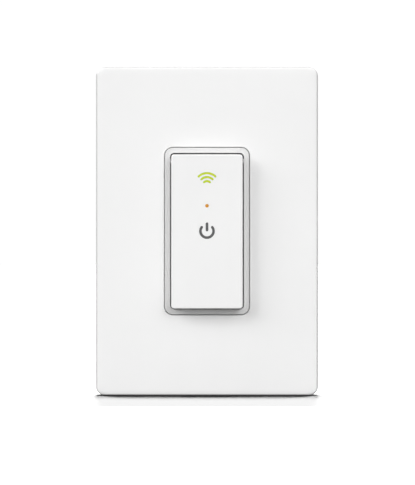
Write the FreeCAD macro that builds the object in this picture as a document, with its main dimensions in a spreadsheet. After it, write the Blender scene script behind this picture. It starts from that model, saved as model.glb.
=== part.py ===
"""Smart light switch: a screwless wall plate with one proud paddle, and all that it holds.

Millimetres. X runs to the right, Z up and Y into the wall. The wall's surface is the plane Y = 0,
and the origin is the middle of the switch on it. Depths are written as levels: a level is the
distance in front of the wall, so a level of 7 lies at Y = -7 and a level of -36 at Y = 36.
"""

import FreeCAD
import Part
import math
import os
import re
import Sketcher

# Driving sizes: each is written once, here, and everything else follows from them.
SIZES = [
    # Opening in the wall plate, and what fills it
    ("opening_width", 33.8, "opening in the wall plate, across"),
    ("opening_height", 66.5, "opening in the wall plate, up"),
    ("opening_corner", 3.4, "radius of the opening's corners"),
    ("opening_edge", 0.4, "small round at the front of the opening"),
    ("nose_clearance", 0.25, "gap between opening and switch nose, each side"),
    ("nose_proud", 0.4, "nose in front of the plate's face"),
    ("nose_edge", 0.25, "small round on the nose's outer edge"),
    ("ring_width", 2.0, "wall of the nose, seen as a ring round the paddle"),
    ("flange_side", 5.35, "flange of the front frame beside the nose"),
    ("flange_end", 1.8, "flange of the front frame above and below the nose"),
    ("flange_thickness", 1.2, "flange and floor of the front frame"),
    # Wall plate
    ("plate_depth", 7.0, "plate's face in front of the wall"),
    ("side_border", 22.0, "plate beyond the switch body, each side"),
    ("end_border", 12.6, "plate beyond the mounting strap, each end"),
    ("plate_corner", 3.5, "radius of the plate's corners"),
    ("bevel_width", 2.4, "shallow slope inside the plate's front edge"),
    ("bevel_drop", 0.2, "drop of that slope"),
    ("plate_edge", 0.8, "round of the plate's front edge"),
    ("plate_wall", 1.8, "wall of the plate"),
    ("plate_gap", 0.4, "gap between the plate's inside and the plate frame"),
    ("catch_reach", 1.0, "catch, inwards from the plate's inside"),
    ("catch_length", 9.0, "length of a catch"),
    ("catch_spread", 40.0, "side catches above and below the middle"),
    ("catch_offset", 26.0, "end catches beside the middle"),
    ("catch_gap", 0.1, "gap between a catch and the edge it holds"),
    ("catch_land", 0.3, "flat at the tip of a catch"),
    ("rib_thickness", 1.2, "ribs inside the plate"),
    ("rib_clearance", 0.3, "gap between a rib and the plate frame"),
    ("rib_offset", 12.0, "end ribs beside the middle"),
    ("pry_width", 9.0, "notch for prying the plate off"),
    ("pry_depth", 1.0, "depth of that notch"),
    # Plate frame
    ("frame_thickness", 1.8, "plate frame"),
    ("frame_gap", 0.4, "gap between plate frame and switch body"),
    ("frame_rim", 1.2, "width of the raised rim"),
    ("frame_rim_height", 0.8, "height of the raised rim"),
    ("foot_radius", 2.2, "feet that stand on the wall"),
    ("foot_inset", 4.6, "feet inside the edge of the plate frame"),
    ("foot_gap", 0.1, "gap between a foot and the wall"),
    ("relief_width", 11.0, "windows that lighten the plate frame, across"),
    ("relief_height", 30.0, "height of those windows"),
    ("relief_place", 22.0, "those windows above and below the middle"),
    # Mounting strap
    ("strap_thickness", 1.2, "sheet of the mounting strap"),
    ("strap_inset", 0.3, "strap inside the switch body's side"),
    ("band_beyond", 1.6, "wide part of the strap beyond the switch body"),
    ("ear_width", 24.0, "narrow ends of the strap"),
    ("ear_corner", 2.5, "corners of the strap"),
    ("disc_radius", 5.2, "round break-off ears"),
    ("disc_offset", 13.4, "break-off ears beside the middle"),
    ("score_width", 0.7, "slit beside each break-off ear"),
    ("score_length", 4.0, "length of that slit"),
    ("strap_end", 4.0, "strap beyond the plate screws"),
    ("box_screw_margin", 6.87, "box screws beyond the switch body"),
    ("head_wall", 0.63, "plate frame between box-screw hole and plate-screw seat"),
    ("slot_length", 6.5, "slot for a box screw, across"),
    ("slot_width", 3.9, "slot for a box screw, up"),
    ("window_margin", 1.5, "strap between window and bosses"),
    ("window_inset", 7.0, "window inside the nose's height, each end"),
    ("tab_reach", 10.0, "earth tab, back from the strap"),
    ("tab_width", 7.0, "earth tab, along the strap"),
    # Fasteners
    ("thread_radius", 1.75, "box, plate, earth and terminal screws"),
    ("thread_gap", 0.05, "gap round a thread in its hole"),
    ("neck_radius", 1.45, "plain neck of a box screw"),
    ("neck_gap", 0.1, "gap round the neck in its retainer"),
    ("box_head_radius", 3.0, "head of a box screw"),
    ("box_head_height", 2.1, "height of that head"),
    ("box_screw_length", 24.0, "box screw behind the wall's surface"),
    ("head_gap", 0.3, "gap round a box screw's head"),
    ("plate_head_radius", 2.75, "head of a plate screw"),
    ("plate_screw_length", 3.0, "plate screw behind the strap's front"),
    ("earth_head_radius", 2.9, "head of the earth screw"),
    ("earth_head_height", 2.0, "height of that head"),
    ("earth_screw_length", 6.0, "earth screw's thread"),
    ("retainer_size", 8.0, "square fibre washer that keeps a box screw"),
    ("retainer_thickness", 0.4, "thickness of that washer"),
    ("retainer_gap", 0.05, "gap between that washer and the thread"),
    ("head_round", 0.6, "slope round a screw head and at a screw's tip"),
    ("slot_cut", 0.9, "width of the slot in a screw head"),
    ("slot_cut_depth", 0.8, "depth of the slot in a screw head"),
    ("case_screw_radius", 1.2, "thread of a housing screw"),
    ("case_head_radius", 2.2, "head of a housing screw"),
    ("case_head_height", 1.8, "height of that head"),
    # Paddle and its hinge
    ("paddle_gap", 0.55, "gap between paddle and ring"),
    ("paddle_drop", 0.19, "paddle below the middle of the ring"),
    ("paddle_proud", 5.0, "paddle's face in front of the plate"),
    ("paddle_corner", 1.2, "radius of the paddle's corners"),
    ("paddle_edge", 0.5, "round of the paddle's front edge"),
    ("paddle_face", 1.6, "front wall of the paddle"),
    ("paddle_wall", 1.2, "side walls of the paddle"),
    ("hinge_depth", 1.8, "hinge behind the nose's front"),
    ("skirt_drop", 1.0, "paddle's rear edge behind the hinge"),
    ("hinge_inset", 2.5, "hinge below the paddle's top"),
    ("pin_radius", 0.9, "hinge pins"),
    ("pin_gap", 0.08, "gap round a hinge pin"),
    ("pin_bite", 1.1, "hinge pin inside the ring"),
    ("pin_end_gap", 0.2, "gap at the end of a hinge pin"),
    ("lip_width", 4.0, "stop lips at the paddle's bottom"),
    ("lip_offset", 8.0, "stop lips beside the middle"),
    ("lip_reach", 1.1, "stop lips below the paddle"),
    ("lip_thickness", 0.8, "thickness of a stop lip"),
    ("lip_gap", 0.1, "gap in front of a stop lip"),
    ("lip_side_gap", 0.3, "gap beside and under a stop lip"),
    ("web_height", 2.0, "stiffening ribs inside the paddle"),
    ("web_thickness", 0.9, "thickness of those ribs"),
    ("web_inset", 4.6, "upright ribs inside the paddle's side"),
    # Symbols and lenses
    ("lens_clearance", 0.04, "gap round a lens in the paddle"),
    ("signal_inset", 12.19, "centre of the signal arcs below the paddle's top"),
    ("signal_radius", 4.79, "largest signal arc, middle of its stroke"),
    ("signal_step", 1.57, "from one signal arc to the next"),
    ("signal_stroke", 0.79, "stroke of the signal arcs"),
    ("signal_angle", 43.5, "half opening of the signal arcs, in degrees"),
    ("lens_width", 11.0, "base of the signal lens, across"),
    ("lens_height", 7.6, "base of the signal lens, up"),
    ("lens_base", 1.2, "thickness of the lens bases"),
    ("guide_width", 4.6, "light guide, across"),
    ("guide_height", 3.0, "light guide, up"),
    ("guide_gap", 0.9, "gap between a light guide and its lamp"),
    ("status_step", 8.07, "status lamp below that centre"),
    ("status_radius", 0.68, "status lamp"),
    ("status_base", 1.7, "radius of the status lens behind the face"),
    ("power_step", 10.0, "power symbol below the status lamp"),
    ("power_radius", 2.58, "power symbol, middle of its stroke"),
    ("power_stroke", 1.0, "stroke of the power symbol"),
    ("power_gap_angle", 54.0, "half opening of its ring, in degrees"),
    ("power_bar_top", 3.42, "top of its bar above its middle"),
    ("power_bar_foot", 0.1, "foot of its bar below its middle"),
    ("power_depth", 0.3, "thickness of the inlay"),
    # Spring and push switch
    ("spring_inset", 8.64, "spring above the paddle's bottom"),
    ("spring_radius", 2.3, "middle of the spring's wire"),
    ("wire_radius", 0.25, "spring wire"),
    ("spring_turns", 6.0, "turns of the spring"),
    ("spring_gap", 0.05, "gap at each end of the spring"),
    ("post_radius", 1.6, "posts inside the spring's ends"),
    ("post_height", 1.8, "height of those posts"),
    ("tact_place", 6.0, "push switch below the middle"),
    ("tact_size", 6.2, "push switch, square"),
    ("tact_height", 3.3, "push switch on its board"),
    ("plunger_radius", 1.7, "plunger of the push switch"),
    ("plunger_out", 1.0, "plunger in front of the push switch"),
    ("plunger_depth", 2.2, "plunger inside the push switch"),
    ("plunger_gap", 0.06, "gap round the plunger"),
    ("plunger_room", 0.9, "free way behind the plunger"),
    ("plunger_edge", 0.3, "slope round the plunger's tip"),
    ("rivet_radius", 0.45, "rivets at the corners of the push switch"),
    ("rivet_height", 0.15, "height of those rivets"),
    ("rivet_inset", 1.0, "rivets inside its edge"),
    ("press_gap", 0.1, "gap between the paddle's boss and the plunger"),
    ("boss_radius", 1.5, "boss that presses the plunger"),
    # Boards
    ("sheet_thickness", 0.4, "insulating sheet behind the strap"),
    ("lamp_width", 3.5, "signal lamp, across"),
    ("lamp_height", 0.8, "lamps on their board"),
    ("module_width", 18.0, "radio module, across"),
    ("module_height", 22.0, "radio module, up"),
    ("module_thickness", 0.8, "radio module's board"),
    ("module_inset", 16.3, "middle of the radio module below the board's top"),
    ("module_pitch", 2.0, "from one half hole to the next"),
    ("can_width", 15.0, "shield can, across"),
    ("can_height", 14.0, "shield can, up"),
    ("can_depth", 2.4, "shield can on the module"),
    ("can_sheet", 0.3, "sheet of the shield can"),
    ("can_drop", 2.0, "shield can below the module's middle"),
    ("header_width", 2.54, "strips of the board header, and the pitch of its pins"),
    ("relay_width", 19.0, "relay, across"),
    ("relay_height", 15.5, "relay, up"),
    ("relay_room", 3.5, "free space in front of the relay"),
    ("relay_inset", 9.8, "middle of the relay above the power board's bottom"),
    ("relay_edge", 0.5, "slope round the front of relay and rectifier"),
    ("header_gap", 1.2, "gap between header and relay"),
    ("core_width", 15.0, "transformer core, across"),
    ("core_height", 9.0, "transformer core, up"),
    ("core_room", 6.0, "free space in front of the transformer"),
    ("winding_reach", 1.4, "winding beyond the core"),
    ("winding_share", 0.2, "core without winding at each end, as a share of its depth"),
    ("component_edge", 1.6, "parts inside the power board's edge"),
    ("cap_radius", 5.0, "can capacitor"),
    ("cap_room", 5.0, "free space in front of the capacitor"),
    ("cap_round", 0.5, "slope and groove of the capacitor"),
    ("varistor_radius", 3.6, "varistor disc"),
    ("varistor_width", 3.4, "thickness of the varistor"),
    ("varistor_offset", 2.0, "varistor beside the middle"),
    ("varistor_lift", 1.0, "varistor disc above its board"),
    ("fuse_radius", 2.1, "pill fuse"),
    ("fuse_length", 8.0, "pill fuse on its board"),
    ("rectifier_width", 4.8, "rectifier, across"),
    ("lamp_case_share", 0.6, "case of a lamp, as a share of its height"),
    ("small_lamp", 2.45, "status lamp, across"),
    ("part_corner", 0.6, "corners of small parts"),
    ("board_thickness", 1.6, "circuit boards"),
    ("board_gap", 0.5, "gap between a board and the housing"),
    ("notch_gap", 0.4, "gap between boards and screw posts"),
    ("power_room", 15.0, "power board's front inside the housing's depth"),
    ("power_board_inset", 5.0, "power board inside the control board's height"),
    ("board_clearance", 0.5, "gap between power board and terminal towers"),
    ("window_gap", 0.5, "gap round a part in a window"),
    # Rear housing
    ("housing_depth", 36.0, "housing behind the wall's surface"),
    ("housing_wall", 2.0, "walls of the housing"),
    ("housing_corner", 3.0, "corners of the housing"),
    ("housing_edge", 1.2, "round of its rear edge"),
    ("boss_offset", 1.15, "screw bosses outside the nose's side"),
    ("boss_inset", 2.8, "screw bosses inside the nose's height"),
    ("frame_boss_radius", 2.1, "screw bosses of the front frame"),
    ("frame_boss_gap", 0.15, "gap round a boss in the strap"),
    ("case_post_radius", 3.6, "screw posts of the housing"),
    ("case_post_seat", 8.0, "seat of the housing screws behind the wall's surface"),
    ("boss_cap", 0.7, "boss beyond the tip of its screw"),
    ("tip_room", 0.2, "bore beyond the tip of its screw"),
    ("case_screw_gap", 0.1, "gap round a housing screw"),
    ("pillar_radius", 2.2, "pillars under the power board"),
    ("pillar_inset", 3.5, "pillars inside the power board's edge"),
    ("pillar_pin", 0.9, "pin on each pillar"),
    ("ledge_width", 8.0, "ledges that carry the control board"),
    ("rear_panel_width", 22.0, "sunk bare panel in the housing's rear, across"),
    ("rear_panel_height", 34.0, "height of that panel"),
    ("rear_panel_depth", 0.4, "depth of that panel"),
    ("gauge_length", 11.0, "groove that shows how far to strip a wire"),
    ("gauge_width", 1.6, "width of that groove"),
    ("vent_width", 1.4, "vents in the housing's top and bottom"),
    ("vent_length", 12.0, "length of a vent, front to back"),
    ("vent_inset", 12.0, "vents behind the wall's surface"),
    ("vent_offset", 7.0, "first vent beside the middle"),
    ("vent_step", 2.8, "from one vent to the next"),
    ("groove_place", 3.0, "groove round the housing behind the wall's surface"),
    ("groove_width", 0.6, "width of that groove"),
    ("groove_depth", 0.4, "depth of that groove"),
    # Terminals
    ("terminal_inset", 22.8, "terminals inside the housing's top and bottom"),
    ("recess_depth", 5.5, "wire recess, in from the housing's side"),
    ("recess_width", 10.0, "wire recess, up"),
    ("tail_room", 0.6, "wire recess in front of the power board's rear"),
    ("tower_wall", 1.5, "walls round a wire recess"),
    ("brass_thickness", 0.8, "terminal plate"),
    ("brass_gap", 0.2, "gap round a terminal plate"),
    ("brass_end", 2.2, "terminal plate inside the housing's rear"),
    ("brass_tail", 2.2, "tail of a terminal plate under the power board"),
    ("tail_width", 3.0, "tail of a terminal plate, up"),
    ("clamp_thickness", 1.0, "clamp plate"),
    ("clamp_gap", 0.3, "gap between terminal and clamp plate"),
    ("clamp_side_gap", 0.8, "gap beside the clamp plate"),
    ("terminal_head_radius", 3.6, "head of a terminal screw"),
    ("terminal_head_height", 2.2, "height of that head"),
    ("terminal_tip", 1.1, "terminal screw inside its terminal plate"),
]

# Sizes that follow from the driving ones
FITS = [
    ("nose_width", "opening_width - 2 * nose_clearance"),
    ("nose_height", "opening_height - 2 * nose_clearance"),
    ("nose_corner", "opening_corner - nose_clearance"),
    ("nose_front", "plate_depth + nose_proud"),
    ("well_width", "nose_width - 2 * ring_width"),
    ("well_height", "nose_height - 2 * ring_width"),
    ("device_width", "nose_width + 2 * flange_side"),
    ("device_height", "nose_height + 2 * flange_end"),
    ("box_screw_place", "device_height / 2 + box_screw_margin"),
    ("seat_radius", "plate_head_radius + thread_gap"),
    ("head_room", "box_head_radius + head_gap"),
    ("plate_screw_place", "box_screw_place + head_room + head_wall + seat_radius"),
    ("strap_length", "2 * (plate_screw_place + strap_end)"),
    ("strap_width", "device_width - 2 * strap_inset"),
    ("plate_width", "device_width + 2 * side_border"),
    ("plate_height", "strap_length + 2 * end_border"),
    ("cavity_width", "plate_width - 2 * plate_wall"),
    ("cavity_height", "plate_height - 2 * plate_wall"),
    ("cavity_front", "plate_depth - plate_wall"),
    ("cavity_corner", "max(plate_corner - plate_wall; 0.5)"),
    ("frame_width", "cavity_width - 2 * plate_gap"),
    ("frame_height", "cavity_height - 2 * plate_gap"),
    ("frame_corner", "max(cavity_corner - plate_gap; 0.4)"),
    ("frame_front", "strap_thickness + frame_thickness"),
    ("floor_front", "strap_thickness + flange_thickness"),
    ("paddle_width", "well_width - 2 * paddle_gap"),
    ("paddle_height", "well_height - 2 * paddle_gap"),
    ("paddle_front", "plate_depth + paddle_proud"),
    ("paddle_inside", "paddle_front - paddle_face"),
    ("hinge_level", "nose_front - hinge_depth"),
    ("skirt_level", "hinge_level - skirt_drop"),
    ("paddle_top", "paddle_height / 2 - paddle_drop"),
    ("paddle_bottom", "paddle_height / 2 + paddle_drop"),
    ("hinge_place", "paddle_top - hinge_inset"),
    ("signal_place", "paddle_top - signal_inset"),
    ("status_place", "signal_place - status_step"),
    ("power_place", "status_place - power_step"),
    ("spring_place", "paddle_bottom - spring_inset"),
    ("lip_front", "skirt_level + lip_thickness"),
    ("boss_x", "nose_width / 2 + boss_offset"),
    ("boss_z", "nose_height / 2 - boss_inset"),
    ("boss_top", "cavity_front - rib_clearance"),
    ("case_screw_tip", "boss_top - boss_cap"),
    ("strap_hole", "frame_boss_radius + frame_boss_gap"),
    ("window_width", "2 * (boss_x - strap_hole - window_margin)"),
    ("window_height", "nose_height - 2 * window_inset"),
    ("board_front", "-sheet_thickness"),
    ("board_back", "board_front - board_thickness"),
    ("board_width", "device_width - 2 * housing_wall - 2 * board_gap"),
    ("board_height", "device_height - 2 * housing_wall - 2 * board_gap"),
    ("notch_x", "boss_x - case_post_radius - notch_gap"),
    ("notch_z", "boss_z - case_post_radius - notch_gap"),
    ("tact_front", "board_front + tact_height"),
    ("plunger_tip", "tact_front + plunger_out"),
    ("press_level", "plunger_tip + press_gap"),
    ("power_front", "power_room - housing_depth"),
    ("power_back", "power_front - board_thickness"),
    ("power_width", "device_width - 2 * (recess_depth + tower_wall + board_clearance)"),
    ("power_height", "board_height - 2 * power_board_inset"),
    ("housing_inside", "-(housing_depth - housing_wall)"),
    ("tower_x", "device_width / 2 - recess_depth"),
    ("tower_front", "power_back + tail_room"),
    ("brass_front", "tower_front - brass_gap"),
    ("brass_length", "housing_depth + brass_front - brass_end"),
    ("clamp_size", "recess_width - 2 * clamp_side_gap"),
    ("terminal_place", "device_height / 2 - terminal_inset"),
    ("terminal_screw_level", "brass_front - clamp_size / 2"),
    ("clamp_x", "tower_x + brass_thickness + clamp_gap"),
    ("pillar_x", "power_width / 2 - pillar_inset"),
    ("pillar_z", "power_height / 2 - pillar_inset"),
    ("signal_middle", "signal_place + signal_radius - signal_step"),
    ("module_place", "board_height / 2 - module_inset"),
    ("part_room", "board_back - power_front"),
    ("relay_place", "power_height / 2 - relay_inset"),
    ("relay_top", "power_front + part_room - relay_room"),
    ("cap_place", "power_height / 2 - cap_radius - component_edge"),
    ("core_place", "(relay_height / 2 - relay_place + cap_place - cap_radius) / 2"),
    ("core_depth", "part_room - core_room"),
    ("cap_length", "part_room - cap_room"),
    ("guide_end", "board_front + lamp_height + guide_gap"),
]

DOC = FreeCAD.newDocument("smart_light_switch")
SHEET = DOC.addObject("Spreadsheet::Sheet", "Sizes")
DERIVED = DOC.addObject("App::VarSet", "Fits")
OWNER = {name: "Sizes" for name, _, _ in SIZES}
OWNER.update({name: "Fits" for name, _ in FITS})


def full(text):
    """Puts the sheet's or the fit set's name before each size in an expression."""
    return re.sub(r"[a-z][a-z0-9_]*", lambda word: (OWNER[word[0]] + "." if word[0] in OWNER else "")
                  + word[0], str(text))


def number(text):
    """The value that an expression has now."""
    return float(DERIVED.evalExpression(full(text)))


def fill_sheet():
    """Writes the driving sizes into the spreadsheet, and binds the fits to them."""
    for row, (name, size, meaning) in enumerate(SIZES, start=1):
        SHEET.set("A%d" % row, name)
        SHEET.set("B%d" % row, str(size))
        SHEET.set("C%d" % row, meaning)
        SHEET.setAlias("B%d" % row, name)
    DOC.recompute()
    for name, text in FITS:
        DERIVED.addProperty("App::PropertyFloat", name, "Fits", text)
        DERIVED.setExpression(name, full(text))
    DOC.recompute()


class Pen:
    """Draws closed outlines in one sketch, each point and radius bound to an expression."""

    def __init__(self, sketch):
        self.sketch = sketch
        self.count = 0

    def line(self, start, end, helper=False):
        """A straight edge, or a helper line that makes no face."""
        segment = Part.LineSegment(FreeCAD.Vector(*start, 0), FreeCAD.Vector(*end, 0))
        return self.sketch.addGeometry(segment, helper)

    def arc(self, centre, radius, start, end):
        """An arc run anticlockwise from one angle to another, in degrees."""
        circle = Part.Circle(FreeCAD.Vector(*centre, 0), FreeCAD.Vector(0, 0, 1), radius)
        return self.sketch.addGeometry(
            Part.ArcOfCircle(circle, math.radians(start), math.radians(end)), False)

    def relate(self, kind, *places):
        """A constraint that holds no size."""
        self.sketch.addConstraint(Sketcher.Constraint(kind, *places))

    def measure(self, kind, places, text):
        """A constraint whose size is an expression."""
        index = self.sketch.addConstraint(Sketcher.Constraint(kind, *places, number(text)))
        self.count += 1
        name = "size%d" % self.count
        self.sketch.renameConstraint(index, name)
        self.sketch.setExpression("Constraints." + name, full(text))

    def place(self, edge, point, x, y):
        """Fixes a point of an edge, measured from the sketch's origin."""
        self.measure("DistanceX", (-1, 1, edge, point), x)
        self.measure("DistanceY", (-1, 1, edge, point), y)


def disc(radius, x="0", y="0"):
    """A full circle."""
    def draw(pen):
        centre = FreeCAD.Vector(number(x), number(y), 0)
        circle = Part.Circle(centre, FreeCAD.Vector(0, 0, 1), number(radius))
        edge = pen.sketch.addGeometry(circle, False)
        pen.measure("Radius", (edge,), radius)
        pen.place(edge, 3, x, y)
    return draw


def polygon(points):
    """Straight edges through points, each given as two expressions."""
    def draw(pen):
        places = [(number(x), number(y)) for x, y in points]
        edges = [pen.line(start, end) for start, end in zip(places, places[1:] + places[:1])]
        for index, edge in enumerate(edges):
            pen.relate("Coincident", edge, 2, edges[(index + 1) % len(edges)], 1)
        for edge, (x, y) in zip(edges, points):
            pen.place(edge, 1, x, y)
    return draw


def rectangle(width, height, x="0", y="0", corner=None):
    """A centred rectangle, with round corners where a radius is given."""
    half_x = "(%s) / 2" % width
    half_y = "(%s) / 2" % height
    if corner is None:
        signs = (("-", "-"), ("+", "-"), ("+", "+"), ("-", "+"))
        return polygon([("(%s) %s %s" % (x, a, half_x), "(%s) %s %s" % (y, b, half_y))
                        for a, b in signs])

    def draw(pen):
        middle_x, middle_y, radius = number(x), number(y), number(corner)
        reach_x = number(half_x) - radius
        reach_y = number(half_y) - radius
        edges = []
        for turn, (a, b) in enumerate(((1, -1), (1, 1), (-1, 1), (-1, -1))):
            start = (middle_x + a * reach_x, middle_y + b * reach_y)
            side = 90 * turn - 90
            normal = (round(math.cos(math.radians(side))), round(math.sin(math.radians(side))))
            along = (-normal[1], normal[0])
            long = reach_x if along[0] else reach_y
            foot = (start[0] + radius * normal[0], start[1] + radius * normal[1])
            back = (foot[0] - 2 * long * along[0], foot[1] - 2 * long * along[1])
            edges.append(pen.line(back, foot))
            edges.append(pen.arc(start, radius, side, side + 90))
        for index in range(0, 8, 2):
            pen.relate("Tangent", edges[index], 2, edges[index + 1], 1)
            pen.relate("Tangent", edges[index + 1], 2, edges[(index + 2) % 8], 1)
            pen.relate("Horizontal" if index % 4 == 0 else "Vertical", edges[index])
        for index in (3, 5, 7):
            pen.relate("Equal", edges[1], edges[index])
        pen.measure("Radius", (edges[1],), corner)
        pen.measure("DistanceX", (edges[6], 1, edges[2], 1), width)
        pen.measure("DistanceY", (edges[0], 1, edges[4], 1), height)
        pen.measure("DistanceX", (-1, 1, edges[2], 1), "(%s) + %s" % (x, half_x))
        pen.measure("DistanceY", (-1, 1, edges[4], 1), "(%s) + %s" % (y, half_y))
    return draw


def obround(length, width, x="0", y="0", upright=False):
    """A slot with round ends, lying along the sketch's first direction unless it is upright."""
    def draw(pen):
        radius = number(width) / 2
        reach = number(length) / 2 - radius
        middle = (number(x), number(y))
        along = (0, 1) if upright else (1, 0)
        across = (along[1], -along[0])
        tilt = 90 if upright else 0

        def spot(far, aside):
            return tuple(middle[k] + far * along[k] + aside * across[k] for k in (0, 1))

        first = pen.line(spot(-reach, radius), spot(reach, radius))
        far_end = pen.arc(spot(reach, 0), radius, tilt - 90, tilt + 90)
        second = pen.line(spot(reach, -radius), spot(-reach, -radius))
        near_end = pen.arc(spot(-reach, 0), radius, tilt + 90, tilt + 270)
        for before, after in ((first, far_end), (far_end, second), (second, near_end),
                              (near_end, first)):
            pen.relate("Tangent", before, 2, after, 1)
        pen.relate("Vertical" if upright else "Horizontal", first)
        pen.measure("Radius", (far_end,), "(%s) / 2" % width)
        half = "((%s) - (%s)) / 2" % (length, width)
        ends = (x, "(%s) + %s" % (y, half)) if upright else ("(%s) + %s" % (x, half), y)
        pen.place(far_end, 3, *ends)
        pen.measure("DistanceY" if upright else "DistanceX", (near_end, 3, far_end, 3), "2 * " + half)
    return draw


def arc_band(radius, stroke, half_angle, y, upward=True):
    """A band bent round a centre on the upright axis, with round ends.

    The half angle is measured from straight up, or from straight down where upward is false.
    """
    def draw(pen):
        mid, half = number(radius), number(stroke) / 2
        angle, height = number(half_angle), number(y)
        first = (90 if upward else 270) - angle
        last = (90 if upward else 270) + angle
        ends = [(mid * math.cos(math.radians(a)), height + mid * math.sin(math.radians(a)))
                for a in (first, last)]
        outer = pen.arc((0, height), mid + half, first, last)
        inner = pen.arc((0, height), mid - half, first, last)
        start_cap = pen.arc(ends[0], half, first + 180, first + 360)
        end_cap = pen.arc(ends[1], half, last, last + 180)
        pen.relate("Tangent", outer, 1, start_cap, 2)
        pen.relate("Tangent", start_cap, 1, inner, 1)
        pen.relate("Tangent", outer, 2, end_cap, 1)
        pen.relate("Tangent", end_cap, 2, inner, 2)
        pen.relate("Coincident", outer, 3, inner, 3)
        pen.place(outer, 3, "0", y)
        pen.measure("Radius", (outer,), "(%s) + (%s) / 2" % (radius, stroke))
        pen.measure("Radius", (inner,), "(%s) - (%s) / 2" % (radius, stroke))
        reach = "(%s) * sin(%s)" % (radius, half_angle)
        right, left = (start_cap, end_cap) if upward else (end_cap, start_cap)
        pen.measure("DistanceX", (outer, 3, right, 3), reach)
        pen.measure("DistanceX", (left, 3, outer, 3), reach)
    return draw


def cross(width, height, inner_x, inner_y):
    """A rectangle whose four corners are cut out square."""
    x, y = "(%s) / 2" % width, "(%s) / 2" % height
    quarter = [(x, "-" + inner_y), (x, inner_y), (inner_x, inner_y), (inner_x, y)]
    left = [("-(%s)" % a, b) for a, b in reversed(quarter)]
    below = [("-" + inner_x, "-(%s)" % y), (inner_x, "-(%s)" % y), (inner_x, "-" + inner_y)]
    return polygon(quarter + left + [("-" + inner_x, "-" + inner_y)] + below)


def corners(shape, x, y):
    """The same outline in all four quarters."""
    return [shape(a + x, b + y) for a in ("", "-") for b in ("", "-")]


def span(side, near, far):
    """Two distances from the middle as a low and a high place, on the side given by a sign."""
    if side > 0:
        return near, far
    return "-(%s)" % far, "-(%s)" % near


def new_body(label):
    """An empty piece, which takes its file's name from the label."""
    body = DOC.addObject("PartDesign::Body", label)
    body.Label = label
    return body


def plane_of(body, role):
    """One of a piece's own origin planes."""
    return [feature for feature in body.Origin.OriginFeatures if feature.Role == role][0]


def draw_sketch(body, name, shapes, level, plane):
    """A sketch parallel to an origin plane, at a distance along that plane's normal."""
    sketch = body.newObject("Sketcher::SketchObject", name + "_sketch")
    sketch.AttachmentSupport = [(plane_of(body, plane), "")]
    sketch.MapMode = "FlatFace"
    sketch.setExpression("AttachmentOffset.Base.z", full(level))
    pen = Pen(sketch)
    for shape in shapes:
        shape(pen)
    return sketch


def pad(body, name, shapes, low, high, plane="XZ_Plane"):
    """Adds material between two levels along the plane's normal."""
    feature = body.newObject("PartDesign::Pad", name)
    feature.Profile = draw_sketch(body, name, shapes, low, plane)
    feature.setExpression("Length", full("(%s) - (%s)" % (high, low)))
    return feature


def pocket(body, name, shapes, low, high, plane="XZ_Plane"):
    """Takes material away between two levels along the plane's normal."""
    feature = body.newObject("PartDesign::Pocket", name)
    feature.Profile = draw_sketch(body, name, shapes, high, plane)
    feature.setExpression("Length", full("(%s) - (%s)" % (high, low)))
    return feature


def turned(body, name, points, centre="0", shift="0", plane="YZ_Plane"):
    """Turns an outline about a line parallel to the sketch's first direction.

    Each point is a place along that line and a radius, the first and last on the line itself.
    """
    outline = [(along, "(%s) + (%s)" % (centre, radius)) for along, radius in points]
    sketch = draw_sketch(body, name, [polygon(outline)], shift, plane)
    pen = Pen(sketch)
    pen.count = 1000
    start, end = [(number(along), number(centre)) for along, _ in (points[0], points[-1])]
    axis = pen.line(start, end, helper=True)
    pen.place(axis, 1, points[0][0], centre)
    pen.place(axis, 2, points[-1][0], centre)
    feature = body.newObject("PartDesign::Revolution", name)
    feature.Profile = sketch
    feature.ReferenceAxis = (sketch, ["Axis0"])
    feature.Angle = 360
    return feature


def mirror(body, name, features, plane):
    """Repeats features, or the whole piece where none are named, across an origin plane."""
    feature = body.newObject("PartDesign::Mirrored", name)
    if features:
        feature.Originals = features
    else:
        feature.TransformMode = "Whole shape"
    feature.MirrorPlane = (plane_of(body, plane), [""])
    body.Tip = feature
    return feature


def edges_at(shape, y, half_x=None, half_z=None, inside=True):
    """Names of the edges that lie on the plane of one Y, within or beyond a centred box."""
    found = []
    for index, edge in enumerate(shape.Edges, start=1):
        box = edge.BoundBox
        if abs(box.YMin - y) > 0.002 or abs(box.YMax - y) > 0.002:
            continue
        if half_x is not None:
            within = (max(abs(box.XMin), abs(box.XMax)) < half_x + 0.01
                      and max(abs(box.ZMin), abs(box.ZMax)) < half_z + 0.01)
            if within != inside:
                continue
        found.append("Edge%d" % index)
    return found


def dress(body, name, kind, size, choose):
    """A fillet or chamfer of one size on the edges that the chooser names."""
    DOC.recompute()
    base = body.Tip
    feature = body.newObject("PartDesign::" + kind, name)
    feature.Base = (base, choose(base.Shape))
    feature.setExpression("Radius" if kind == "Fillet" else "Size", full(size))
    return feature


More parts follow.
